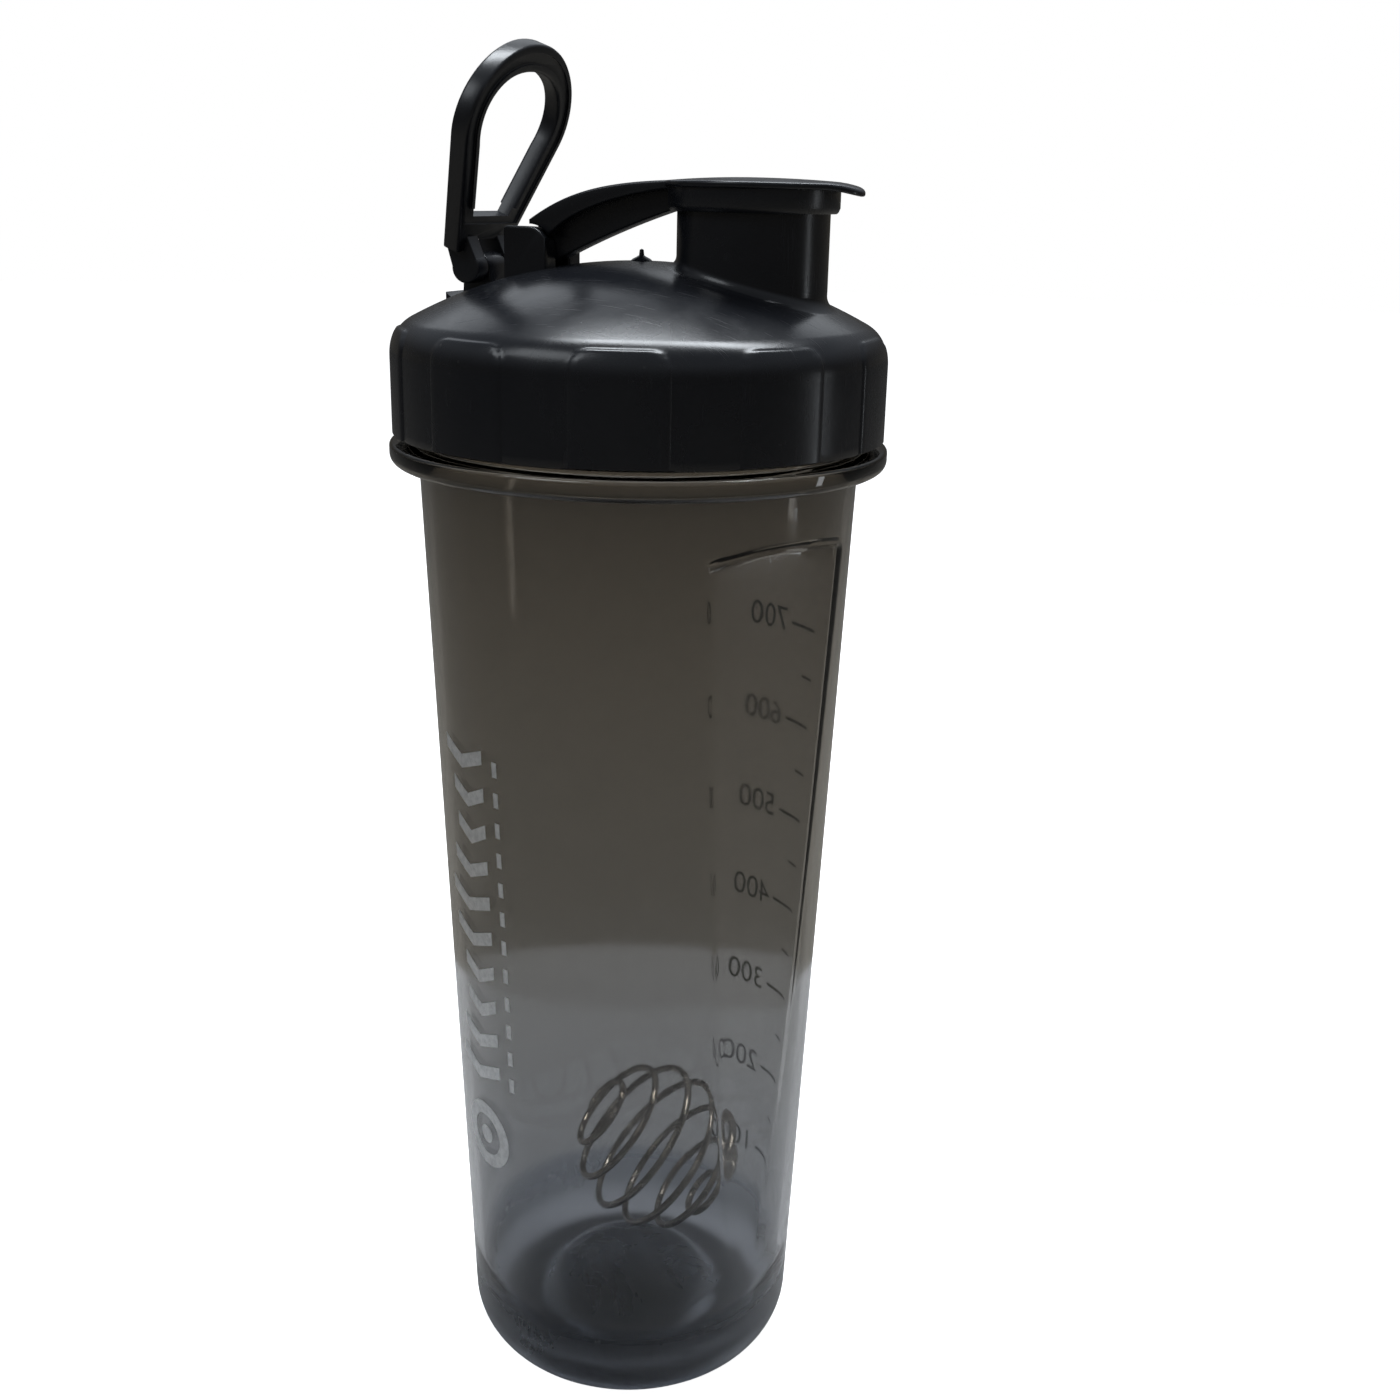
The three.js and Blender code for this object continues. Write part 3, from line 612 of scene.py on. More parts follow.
def cup_profile():
    """The cup's section: the pushed-up base, foot, wall, flange, neck, then back down inside."""
    neck_fillet, rim_round = 0.5, (NECK_RADIUS - NECK_INNER) / 2
    underside = flowing([(0, 14.2), (9, 13.3), (14.5, 10.2), (17.2, 4), (FOOT_INNER, 0.5)], 6)
    foot = [(FOOT_INNER + 0.5, 0.12), (FOOT_INNER + 1.2, 0), (FOOT_OUTER - 0.6, 0)]
    base = arc(FOOT_OUTER, BASE_ROUND_TOP, BASE_RADIUS - FOOT_OUTER, BASE_ROUND_TOP, -90, 0, 18)
    outer_wall = [(cup_radius(z), z) for z in wall_heights(BASE_ROUND_TOP + 4)]
    flange = [
        *arc(SHOULDER_RADIUS + 0.7, FLANGE_BOTTOM - 0.7, 0.7, 0.7, 180, 90, 4),
        *arc(FLANGE_RADIUS - 1.9, FLANGE_BOTTOM + 1.9, 1.9, 1.9, -90, 0, 8),
        *arc(FLANGE_RADIUS - 0.8, FLANGE_TOP - 0.8, 0.8, 0.8, 0, 90, 5),
        *arc(NECK_RADIUS + neck_fillet, FLANGE_TOP + neck_fillet, neck_fillet, neck_fillet, 270, 180, 4),
    ]
    rim = arc(NECK_RADIUS - rim_round, RIM - rim_round, rim_round, rim_round, 0, 180, 10)
    inner_wall = [(cup_radius(z) - WALL, z) for z in reversed(wall_heights(FLOOR_JOIN + 2))]
    floor = flowing([
        (0, 16.6), (9.5, 15.7), (15.5, 12.8), (20, 8.6), (25, 7), (29, 8.6), (32.2, 13.5),
        (cup_radius(FLOOR_JOIN) - WALL, FLOOR_JOIN),
    ], 5)
    return [
        *underside, *foot, *base, *outer_wall, *flange,
        (NECK_RADIUS, RIM - 8), *rim, (NECK_INNER, RIM - 8), (NECK_INNER, FLANGE_TOP),
        (SHOULDER_RADIUS - WALL, FLANGE_BOTTOM), *inner_wall, *reversed(floor),
    ]


def panel_distance(height):
    """Distance of the flat panel from the cup's axis."""
    run = (PANEL_DISTANCE_TOP - PANEL_DISTANCE_BOTTOM) / (PANEL_TOP - PANEL_BOTTOM)
    return PANEL_DISTANCE_BOTTOM + run * (height - PANEL_BOTTOM)


def drawn_to_edge(turn, edge):
    """Turns a mesh column so that one column runs along the panel's edge, with close neighbours."""
    column, calm, reach = math.radians(25), math.radians(60), math.radians(4)
    size = abs(turn)
    if size >= calm:
        return turn
    if size <= column:
        size = size * edge / column
    else:
        size = edge + (size - column) * (calm - edge) / (calm - column)
    off = size - edge
    if abs(off) < reach:
        size = edge + off * abs(off) / reach
    return math.copysign(size, turn)


def press_panel(cup):
    """Flattens the wall, outside and inside, to the measuring panel with its arched top."""
    least_edge, soft = math.radians(7), 0.12
    for vertex in cup.data.vertices:
        x, y, z = vertex.co / MM
        radius = math.hypot(x, y)
        if radius < BASE_RADIUS - 4 or not PANEL_BOTTOM - 3 < z < FLANGE_BOTTOM - 2:
            continue
        inset = 0.0 if radius > cup_radius(z) - WALL / 2 else WALL
        turn = (math.atan2(y, x) - PANEL_ANGLE + math.pi) % (2 * math.pi) - math.pi
        ratio = min(1.0, (panel_distance(z) - inset) / (cup_radius(z) - inset))
        fade = smooth_step(PANEL_BOTTOM - 3, PANEL_BOTTOM + 6, z)
        fade *= smooth_step(FLANGE_BOTTOM - 2, PANEL_TOP + 4, z)
        drawn = drawn_to_edge(turn, max(least_edge, math.acos(ratio)))
        turn += (drawn - turn) * fade
        pressed = 0.0
        if abs(turn) < math.pi / 2:
            across = (cup_radius(z) - inset) * math.sin(turn) / PANEL_HALF_WIDTH
            sag = PANEL_ARCH * min(1.0, across * across) * smooth_step(2.0, 1.0, abs(across))
            rows = smooth_step(150, PANEL_TOP - 4, z) * smooth_step(FLANGE_BOTTOM - 3, PANEL_TOP + 3, z)
            lift = inset * 0.6
            pressed = 1 - smooth_step(PANEL_TOP + lift - 0.1, PANEL_TOP + lift + 0.8, z)
            z -= sag * rows
            pressed *= smooth_step(PANEL_BOTTOM - 2, PANEL_BOTTOM + 10, z)
        round_radius = cup_radius(z) - inset
        along, sideways = round_radius * math.cos(turn), round_radius * math.sin(turn)
        flat = panel_distance(z) - inset
        low, high = min(along, flat), max(along, flat)
        pulled = low - soft * math.log1p(math.exp(-(high - low) / soft))
        along += (pulled - along) * pressed
        vertex.co = Matrix.Rotation(PANEL_ANGLE, 3, "Z") @ Vector((along, sideways, z)) * MM


def thread_ridge(name, root, crest, root_half, crest_half, start, angle):
    """A trapezoid ridge wound into a helix, its ends run out to nothing."""
    steps = round(THREAD_TURNS * 120)
    nothing_selected()
    bpy.ops.mesh.primitive_circle_add(vertices=4, radius=MM, fill_type="NGON")
    ridge = named(name)
    corners = ((root, -root_half), (crest, -crest_half), (crest, crest_half), (root, root_half))
    for vertex, (radius, height) in zip(ridge.data.vertices, corners):
        vertex.co = Vector((radius, 0, height)) * MM
    only(ridge)
    modifier = ridge.modifiers.new("helix", "SCREW")
    modifier.angle = THREAD_TURNS * 2 * math.pi
    modifier.screw_offset = THREAD_TURNS * PITCH * MM
    modifier.steps = modifier.render_steps = steps
    bpy.ops.object.modifier_apply(modifier=modifier.name)
    for vertex in ridge.data.vertices:
        x, y, z = vertex.co / MM
        done = min(1.0, max(0.0, z / (THREAD_TURNS * PITCH)))
        shrink = min(1.0, 0.1 + 12 * done, 0.1 + 12 * (1 - done))
        radius = root + (math.hypot(x, y) - root) * shrink
        vertex.co = Vector((x, y, 0)).normalized() * radius * MM + Vector((0, 0, z * MM))
    ridge.data.transform(Matrix.Translation((0, 0, start * MM)) @ Matrix.Rotation(angle, 4, "Z"))
    bpy.ops.object.mode_set(mode="EDIT")
    welded()
    return ridge


def make_cup():
    cup = turned("cup_body", cup_profile(), CUP_STEPS)
    press_panel(cup)
    ridge = thread_ridge("neck_thread", NECK_RADIUS - 0.5, NECK_CREST, 1.2, 0.6, THREAD_START, 0.0)
    combine(cup, ridge)
    return finished(cup, smoke_plastic(), "cup", "cup_plastic", "cup")


# ---- lid ----------------------------------------------------------------------------------
def dome_height(radius):
    return DOME_TOP - DOME_CURVE + math.sqrt(DOME_CURVE**2 - radius**2)


def dome_line(start, end, parts, drop):
    """Points on the dome from one radius to another, lowered by drop."""
    radii = [start + (end - start) * i / parts for i in range(parts + 1)]
    return [(r, dome_height(r) - drop) for r in radii]


def lid_profile():
    """The lid's section: underside, seal rib, inner wall, outer wall, soft shoulder and dome."""
    edge = dome_height(DOME_EDGE)
    slope = -DOME_EDGE / math.sqrt(DOME_CURVE**2 - DOME_EDGE**2)
    corner = (LID_RADIUS, edge + slope * (LID_RADIUS - DOME_EDGE))
    low, high = (LID_RADIUS, SHOULDER_LOW), (DOME_EDGE, edge)
    third = [tuple(e + (c - e) * 2 / 3 for e, c in zip(end, corner)) for end in (low, high)]
    shoulder = bezier(low, third[0], third[1], high, 26)
    outer_wall = finer([(LID_RADIUS, LID_BOTTOM + 0.5), (LID_RADIUS, SHOULDER_LOW)], 1.2)
    return [
        *dome_line(0, 36.8, 14, LID_SKIN), (RIB_INNER, SEAT), (RIB_INNER, RIB_BOTTOM + 0.4),
        (RIB_INNER + 0.4, RIB_BOTTOM), (RIB_OUTER - 0.4, RIB_BOTTOM), (RIB_OUTER, RIB_BOTTOM + 0.4),
        (RIB_OUTER, SEAT), (44.2, SEAT), (LID_INNER, SEAT - 2), (LID_INNER, LID_BOTTOM + 0.3),
        (LID_INNER + 0.3, LID_BOTTOM), (LID_RADIUS - 0.5, LID_BOTTOM),
        (LID_RADIUS - 0.15, LID_BOTTOM + 0.15), *outer_wall, *shoulder[1:-1],
        *dome_line(DOME_EDGE, 0, 22, 0),
    ]


def raise_pads(lid):
    """Lifts round-cornered grip pads, evenly spaced, out of the lid's wall and shoulder."""
    pitch, edge, calm = 360 / PAD_COUNT, math.degrees(PAD_HALF_WIDTH / LID_RADIUS), 2.5
    lid.data.update()
    normals = [vertex.normal.copy() for vertex in lid.data.vertices]
    for vertex, normal in zip(lid.data.vertices, normals):
        x, y, z = vertex.co / MM
        radius = math.hypot(x, y)
        outer = radius > LID_INNER + 0.3 or z > SEAT + 0.4
        if radius < DOME_EDGE - 2 or not outer or z < LID_BOTTOM + 0.3:
            continue
        angle = math.degrees(math.atan2(y, x))
        turn = (angle + pitch / 2) % pitch - pitch / 2
        off = abs(turn) - edge
        if abs(off) < calm:
            off *= 0.25 + 0.75 * abs(off) / calm
        moved = math.copysign(edge + off, turn)
        angle = math.radians(angle + moved - turn)
        beside = abs(math.radians(moved)) * LID_RADIUS - (PAD_HALF_WIDTH - PAD_CORNER)
        above = z - (PAD_TOP - PAD_CORNER)
        outside = math.hypot(max(beside, 0), max(above, 0)) + min(max(beside, above), 0) - PAD_CORNER
        rise = PAD_RISE * (1 - smooth_step(-0.35, 0.35, outside))
        outward = Vector((math.cos(angle), math.sin(angle), 0))
        lift = outward * math.hypot(normal.x, normal.y) + Vector((0, 0, normal.z))
        vertex.co = (outward * radius + Vector((0, 0, z)) + lift * rise) * MM


def make_spout():
    """A short tube whose foot spreads in a fillet that follows the dome."""
    foot = [(SPOUT_RADIUS + SPOUT_FILLET, SPOUT_FOOT - 1.2)]
    fillet = [
        (SPOUT_RADIUS + SPOUT_FILLET * (1 - math.sin(t)), SPOUT_FOOT + SPOUT_FILLET * (1 - math.cos(t)))
        for t in (i * math.pi / 20 for i in range(11))
    ]
    wall = finer([(SPOUT_RADIUS, SPOUT_FOOT + SPOUT_FILLET), (SPOUT_RADIUS, SPOUT_TOP - 0.7)], 0.8)
    top = arc(SPOUT_RADIUS - 0.7, SPOUT_TOP - 0.7, 0.7, 0.7, 0, 90, 5)
    bore = finer([(SPOUT_BORE - 0.6, SPOUT_TOP), (SPOUT_BORE - 0.6, SPOUT_FOOT - 1.2)], 0.8)
    spout = turned("spout", foot + fillet[:-1] + wall + top[1:] + bore, 160, SPOUT_X)
    for vertex in spout.data.vertices:
        x, y, z = vertex.co / MM
        share = 1 - smooth_step(3, 14, z - SPOUT_FOOT)
        vertex.co.z += share * (dome_height(math.hypot(x, y)) - SPOUT_FOOT) * MM
    return spout


def make_bosses():
    """Ears for the flip cap with cheeks beside them, and a lug for the loop on a low pedestal."""
    root, ear_bevel = 229.5, 0.45
    px, pz = CAP_PIVOT
    ear = [(px - EAR_HALF_LENGTH, root), (px + EAR_HALF_LENGTH, root)]
    ear += arc(px, pz, EAR_HALF_LENGTH, EAR_HALF_LENGTH, 0, 180, 28)
    ear_middle, ear_half = (EAR_OUTER + EAR_INNER) / 2, (EAR_OUTER - EAR_INNER) / 2
    top = pz + CHEEK_RISE
    cheek = [
        (px - EAR_HALF_LENGTH, root), (px + EAR_HALF_LENGTH, root), (px + EAR_HALF_LENGTH, top - 2.0),
        *bezier((px + 3.2, top - 0.9), (px + 2.4, top - 0.3), (px + 1.8, top), (px + 0.8, top), 5),
        *arc(px - EAR_HALF_LENGTH + 0.9, top - 0.9, 0.9, 0.9, 90, 180, 6),
    ]
    cheek_middle, cheek_half = (EAR_OUTER + CHEEK_INNER) / 2, (EAR_OUTER - CHEEK_INNER) / 2
    lx, lz = LOOP_PIVOT
    lug = [(lx - LUG_RADIUS - 0.5, root - 5), (lx + LUG_RADIUS + 1.4, root - 5)]
    lug += arc(lx, lz, LUG_RADIUS, LUG_RADIUS, 0, 180, 24)
    bosses = plate("bosses", [ear], ear_half, ear_bevel, UPRIGHT_XZ, ear_middle)
    combine(bosses, plate("ear", [ear], ear_half, ear_bevel, UPRIGHT_XZ, -ear_middle))
    for side in (-1, 1):
        combine(bosses, plate("cheek", [cheek], cheek_half, 0.3, UPRIGHT_XZ, side * cheek_middle))
    combine(bosses, plate("lug", [lug], LUG_HALF_WIDTH, 0.4, UPRIGHT_XZ))
    block = [
        (PEDESTAL_BACK, PEDESTAL_ROOT), (PEDESTAL_FRONT, PEDESTAL_ROOT),
        (PEDESTAL_FRONT, PEDESTAL_TOP), (PEDESTAL_BACK, PEDESTAL_TOP),
    ]
    pedestal = plate("pedestal", [block], EAR_OUTER + 0.6, 0.5, UPRIGHT_XZ)
    sweep = cross_rod("sweep", SWEEP_RADIUS, -SWEEP_REACH, SWEEP_REACH, LOOP_PIVOT)
    combine(pedestal, sweep, "DIFFERENCE")
    combine(bosses, pedestal)
    hollow = turned("hollow", [(0, 205), *dome_line(RIB_INNER - 0.2, 0, 12, LID_SKIN)], 120)
    return combine(bosses, hollow, "DIFFERENCE")


def make_gate_nub():
    """The stub left where the plastic entered the mould: a low cone with a short spike."""
    line = [(0, DOME_TOP - 1), (2.0, DOME_TOP - 1), (2.0, DOME_TOP + 0.05), (1.7, DOME_TOP + 0.35)]
    line += [(0.9, DOME_TOP + 0.75), (0.5, DOME_TOP + 1.0), (0.38, DOME_TOP + 2.0), (0, DOME_TOP + 2.2)]
    return turned("gate_nub", line, 40)


def make_lid(plastic):
    lid = turned("lid_shell", lid_profile(), LID_STEPS)
    raise_pads(lid)
    combine(lid, make_spout())
    combine(lid, make_bosses())
    combine(lid, make_gate_nub())
    start = THREAD_START - LID_THREAD_DROP
    combine(lid, thread_ridge("lid_thread", LID_INNER + 0.4, LID_CREST, 1.1, 0.5, start, math.radians(60)))
    bore = [(0, 205), (SPOUT_BORE, 205), (SPOUT_BORE, SPOUT_TOP - 0.5), (SPOUT_BORE + 0.7, SPOUT_TOP + 0.2)]
    combine(lid, turned("bore", bore + [(0, SPOUT_TOP + 0.2)], 128, SPOUT_X), "DIFFERENCE")
    combine(lid, pin_hole(CAP_PIN_RADIUS, CAP_PIVOT), "DIFFERENCE")
    combine(lid, pin_hole(LOOP_PIN_RADIUS, LOOP_PIVOT), "DIFFERENCE")
    return finished(lid, plastic, "lid", "lid_plastic", "lid")


def make_gasket():
    inner, outer, low, high, soft = 40.7, 43.9, RIM + 0.35, SEAT - 0.35, 0.5
    section = [
        *arc(outer - soft, low + soft, soft, soft, -90, 0, 5),
        *arc(outer - soft, high - soft, soft, soft, 0, 90, 5),
        *arc(inner + soft, high - soft, soft, soft, 90, 180, 5),
        *arc(inner + soft, low + soft, soft, soft, 180, 270, 5),
    ]
    gasket = turned("gasket_ring", section, 200)
    return finished(gasket, gasket_rubber(), "gasket", "gasket_rubber", "lid_gasket")


# ---- flip cap -----------------------------------------------------------------------------
def cap_reach(angle):
    """The cap's outline seen from above: a circle, drawn out by straight flanks to the thumb lip."""
    tip = LIP_REACH - LIP_RADIUS
    spread = math.acos((CAP_RADIUS - LIP_RADIUS) / tip)
    touch = math.atan2(LIP_RADIUS * math.sin(spread), tip + LIP_RADIUS * math.cos(spread))
    size = abs(angle)
    if size >= spread:
        return CAP_RADIUS
    if size >= touch:
        return CAP_RADIUS / math.cos(spread - size)
    return tip * math.cos(size) + math.sqrt(LIP_RADIUS**2 - (tip * math.sin(size)) ** 2)


def make_cap_plate():
    """The crowned plate, drawn out to a drooping thumb lip."""
    rim, edge = 0.45, CAP_TOP - CROWN
    line = [(0, CAP_BOTTOM), *finer([(1, CAP_BOTTOM), (CAP_RADIUS - rim, CAP_BOTTOM)], 1.0)]
    line += arc(CAP_RADIUS - rim, CAP_BOTTOM + rim, rim, rim, -90, 0, 4)
    line += arc(CAP_RADIUS - rim, edge - rim, rim, rim, 0, 80, 4)
    radii = [CAP_RADIUS - 1.2 - 1.25 * i for i in range(12)] + [0]
    line += [(r, CAP_TOP - CROWN * (r / (CAP_RADIUS - rim)) ** 2) for r in radii]
    disc = turned("cap_plate", line, 144, SPOUT_X)
    root = SPOUT_X + SKIRT_INNER + 0.5
    tip = SPOUT_X + LIP_REACH
    for vertex in disc.data.vertices:
        x, y, z = vertex.co / MM
        angle = math.atan2(y, x - SPOUT_X)
        grow = cap_reach(angle) / CAP_RADIUS
        x, y = SPOUT_X + (x - SPOUT_X) * grow, y * grow
        bend = max(0.0, (x - root) / (tip - root))
        vertex.co = Vector((x, y, z - LIP_DROOP * bend * bend)) * MM
    return disc


def cap_ring(name, outer, tip, inner, low):
    """Skirt or plug: a ring under the plate with a bevelled outer foot."""
    line = [
        (inner, CAP_BOTTOM + 0.6), (inner, low + 0.2), (inner + 0.2, low), (tip - 0.3, low),
        (tip, low + 0.3), (outer, low + 1.0), (outer, CAP_BOTTOM + 0.6),
    ]
    return turned(name, line, 128, SPOUT_X)


def make_arm():
    """The arm from the hinge to the plate: a broad top flange over a narrow web."""
    px, pz = CAP_PIVOT
    clear = EAR_HALF_LENGTH + 0.5
    arm_end = 10.0
    start = math.radians(35)
    plate_top = (arm_end, CAP_TOP - CROWN + 0.1)
    top = bezier((px, pz + clear + 0.8), (-13.5, 246.7), (-6.5, 249.2), plate_top, 28)
    under = bezier((arm_end, CAP_BOTTOM + 0.05), (-4, 246.8), (-11, 243.6), (-14.6, 240.9), 22)
    nose = [
        (px + clear * math.cos(a), pz + clear * math.sin(a))
        for a in (start + (math.pi / 2 - start) * i / 8 for i in range(9))
    ]
    arm = plate("cap_arm", [top + under + nose], ARM_HALF_WIDTH, 0.4, UPRIGHT_XZ)
    wall = SPOUT_X - SKIRT_OUTER + 0.6
    belly = bezier((-16.5, 234.6), (-10.8, 237.5), (-3.2, 241.0), (wall, SKIRT_BOTTOM), 16)
    web = [
        (px + 1, pz - KNUCKLE_RADIUS + 0.3), *belly, (wall, CAP_TOP - 1.2),
        (-4, 247.6), (-14, 244), (px, pz + 3),
    ]
    combine(arm, plate("web", [web], WEB_HALF_WIDTH, 0.35, UPRIGHT_XZ))
    knuckle = cross_rod("knuckle", KNUCKLE_RADIUS, -WEB_HALF_WIDTH, WEB_HALF_WIDTH, CAP_PIVOT, 0.3)
    combine(arm, knuckle)
    low = 238.0
    room = [(0, low), (SKIRT_INNER, low), (SKIRT_INNER, CAP_BOTTOM), (0, CAP_BOTTOM)]
    return combine(arm, turned("room", room, 128, SPOUT_X), "DIFFERENCE")


def make_flip_cap(plastic):
    cap = make_cap_plate()
    combine(cap, make_arm())
    combine(cap, cap_ring("skirt", SKIRT_OUTER, SKIRT_OUTER - 0.3, SKIRT_INNER, SKIRT_BOTTOM))
    combine(cap, cap_ring("plug", PLUG_OUTER, PLUG_TIP, PLUG_INNER, PLUG_BOTTOM))
    combine(cap, pin_hole(CAP_PIN_RADIUS, CAP_PIVOT), "DIFFERENCE")
    cap.name = "flip_cap_moulding"
    return finished(cap, plastic, "flip_cap", "cap_plastic", "flip_cap")


# ---- carry loop ---------------------------------------------------------------------------
def teardrop(inset, foot):
    """Outline of the loop: straight legs and a rounded top; inset draws it inwards."""
    leg = inset * 1.1
    top = LOOP_HEIGHT - inset
    foot_width = 8.8 + 0.452 * foot - leg
    side = (19.2 - leg, 23.0)
    first = (23.6 - leg, 31.5 - inset * 0.3)
    second = (14.5 - inset * 0.5, top)
    right = bezier(side, first, second, (0, top), 24)
    left = [(-u, v) for u, v in reversed(right[:-1])]
    return [(foot_width, foot), *right, *left, (-foot_width, foot)]


def make_carry_loop(plastic):
    """The grooved loop and its two eyes, made upright about its pivot and then leaned forward."""
    half = LOOP_THICKNESS / 2
    outline = [teardrop(0, 2.4), teardrop(LOOP_WIDTH, 9.4)]
    loop = plate("carry_loop_moulding", outline, half, 0.6, UPRIGHT_YZ, -LOOP_BACKSET)
    track, groove_depth = [teardrop(1.5, 8.0), teardrop(LOOP_WIDTH - 1.5, 11.0)], 0.5
    for side in (-1, 1):
        face = -LOOP_BACKSET + side * half
        groove = plate("groove", track, groove_depth, 0.15, UPRIGHT_YZ, face)
        combine(loop, groove, "DIFFERENCE")
    heel = [
        (-LOOP_BACKSET - half, 6), (-LOOP_BACKSET - half, 2.3), (-3.3, 0), (-2.4, -1.2),
        (0, 0), (1.6, 2.3), (-LOOP_BACKSET + half, 5.6), (-LOOP_BACKSET + half, 6),
    ]
    middle, eye_half = (EYE_OUTER + EYE_INNER) / 2, (EYE_OUTER - EYE_INNER) / 2
    for side in (-1, 1):
        low, high = sorted((side * EYE_INNER, side * EYE_OUTER))
        combine(loop, cross_rod("eye", EYE_RADIUS, low, high, (0, 0), 0.35))
        combine(loop, plate("heel", [heel], eye_half, 0.2, UPRIGHT_XZ, side * middle))
    gap = [(-EYE_INNER, -3), (EYE_INNER, -3), (EYE_INNER, 5), (-EYE_INNER, 5)]
    combine(loop, plate("gap", [gap], 8.0, 0.2, UPRIGHT_YZ, -LOOP_BACKSET), "DIFFERENCE")
    combine(loop, pin_hole(LOOP_PIN_RADIUS, (0, 0)), "DIFFERENCE")
    place = Matrix.Translation(Vector((LOOP_PIVOT[0], 0, LOOP_PIVOT[1])) * MM)
    loop.data.transform(place @ Matrix.Rotation(LOOP_LEAN, 4, "Y"))
    return finished(loop, plastic, "carry_loop", "loop_plastic", "carry_loop")


def make_pin(name, radius, pivot, plastic, node):
    pin = cross_rod(name, radius, -PIN_REACH, PIN_REACH, pivot, 0.3, 48)
    return finished(pin, plastic, "lid", "pin_plastic", node)


# ---- whisk ball ---------------------------------------------------------------------------
def make_whisk_ball():
    """One wire wound pole to pole over a sphere."""
    steps = round(BALL_TURNS * 44)
    nothing_selected()
    bpy.ops.curve.primitive_bezier_circle_add()
    ball = named("whisk_ball_wire")
    wire = ball.data
    wire.splines.clear()
    wire.dimensions = "3D"
    spline = wire.splines.new("POLY")
    spline.points.add(steps)
    tilt = Matrix.Rotation(BALL_HEADING, 3, "Z") @ Matrix.Rotation(BALL_TILT, 3, "Y")
    for i, point in enumerate(spline.points):
        share = i / steps
        polar = math.radians(9 + 162 * share)
        around = share * BALL_TURNS * 2 * math.pi
        out, up = math.sin(polar), -math.cos(polar)
        heading = Vector((out * math.cos(around), out * math.sin(around), up))
        place = (tilt @ heading * BALL_RADIUS + BALL_CENTRE) * MM
        point.co = (*place, 1)
    wire.bevel_depth = WIRE_RADIUS * MM
    wire.bevel_resolution = 4
    wire.use_fill_caps = True
    bpy.ops.object.convert(target="MESH")
    ball = bpy.context.object
    bpy.ops.object.mode_set(mode="EDIT")
    welded()
    return finished(ball, drawn_steel(), "whisk_ball", "wire_steel", "whisk_ball", angle=60)


# ---- print on the cup -----------------------------------------------------------------------
def wrapped(piece, angle):
    """Lays flat print, u across and v up, round the cup's wall at an angle."""
    for vertex in piece.data.vertices:
        u, v, w = vertex.co / MM
        radius = cup_radius(v)
        turn = angle + u / radius
        out = radius + INK_RISE + w
        vertex.co = Vector((out * math.cos(turn), out * math.sin(turn), v)) * MM
    return piece


def thickened(piece):
    """Gives a flat mark the thickness of the ink."""
    only(piece)
    bpy.ops.object.mode_set(mode="EDIT")
    bpy.ops.mesh.select_all(action="SELECT")
    bpy.ops.mesh.remove_doubles(threshold=WELD)
    bpy.ops.mesh.extrude_region_move(TRANSFORM_OT_translate={"value": (0, 0, INK_THICKNESS * MM)})
    welded()
    return piece


def bar(name, low, high, left, right, fold=0.0):
    """A printed bar, cut fine enough to follow the wall; fold bends it into a chevron."""
    nothing_selected()
    bpy.ops.mesh.primitive_grid_add(x_subdivisions=12, y_subdivisions=4, size=2 * MM)
    piece = named(name)
    for vertex in piece.data.vertices:
        s, t = (vertex.co.x / MM + 1) / 2, (vertex.co.y / MM + 1) / 2
        v = low + (high - low) * t
        vertex.co = Vector((left + (right - left) * s, v + fold * abs(s - 0.5), 0)) * MM
    return thickened(piece)


def printed_ring(name, inner, outer, u, v):
    """A printed ring, or a dot where the inner radius is nothing."""
    nothing_selected()
    bpy.ops.mesh.primitive_grid_add(x_subdivisions=48, y_subdivisions=4, size=2 * MM)
    piece = named(name)
    for vertex in piece.data.vertices:
        turn = math.pi * vertex.co.x / MM
        reach = inner + (outer - inner) * (1 - vertex.co.y / MM) / 2
        vertex.co = Vector((u + reach * math.cos(turn), v + reach * math.sin(turn), 0)) * MM
    return thickened(piece)


def numeral(text, size, u, v):
    """A number standing upright at (u, v)."""
    nothing_selected()
    bpy.ops.object.text_add()
    piece = bpy.context.object
    piece.data.body = text
    piece.data.size = size * MM
    piece.data.extrude = INK_THICKNESS / 2 * MM
    piece.data.align_x = "LEFT"
    piece.data.align_y = "CENTER"
    bpy.ops.object.convert(target="MESH")
    piece = bpy.context.object
    piece.data.transform(Matrix.Translation(Vector((u, v, INK_THICKNESS / 2)) * MM))
    bpy.ops.object.mode_set(mode="EDIT")
    welded()
    return piece


def make_silver_print():
    """Plain silver chevrons up the wall above a ring, with a dashed line beside them."""
    bars = []
    chevrons, chevron_step, chevron_start = 10, 7.6, 73
    for row in range(chevrons):
        low = chevron_start + row * chevron_step
        reach = 5.5 + 2.5 * math.cos(row * 1.3)
        bars.append(bar("chevron", low, low + 2.8, -reach, 6.5, 5.0))
    dashes, dash_step, dash_start = 12, 6.2, 74
    for row in range(dashes):
        low = dash_start + row * dash_step
        bars.append(bar("dash", low, low + 3.0, 9.4, 10.6))
    ring_u, ring_v = 0.6, 60
    bars.append(printed_ring("ring", 4.6, 7.4, ring_u, ring_v))
    bars.append(printed_ring("dot", 0.0, 2.0, ring_u, ring_v))
    return wrapped(joined("silver_bars", bars), SILVER_ANGLE)


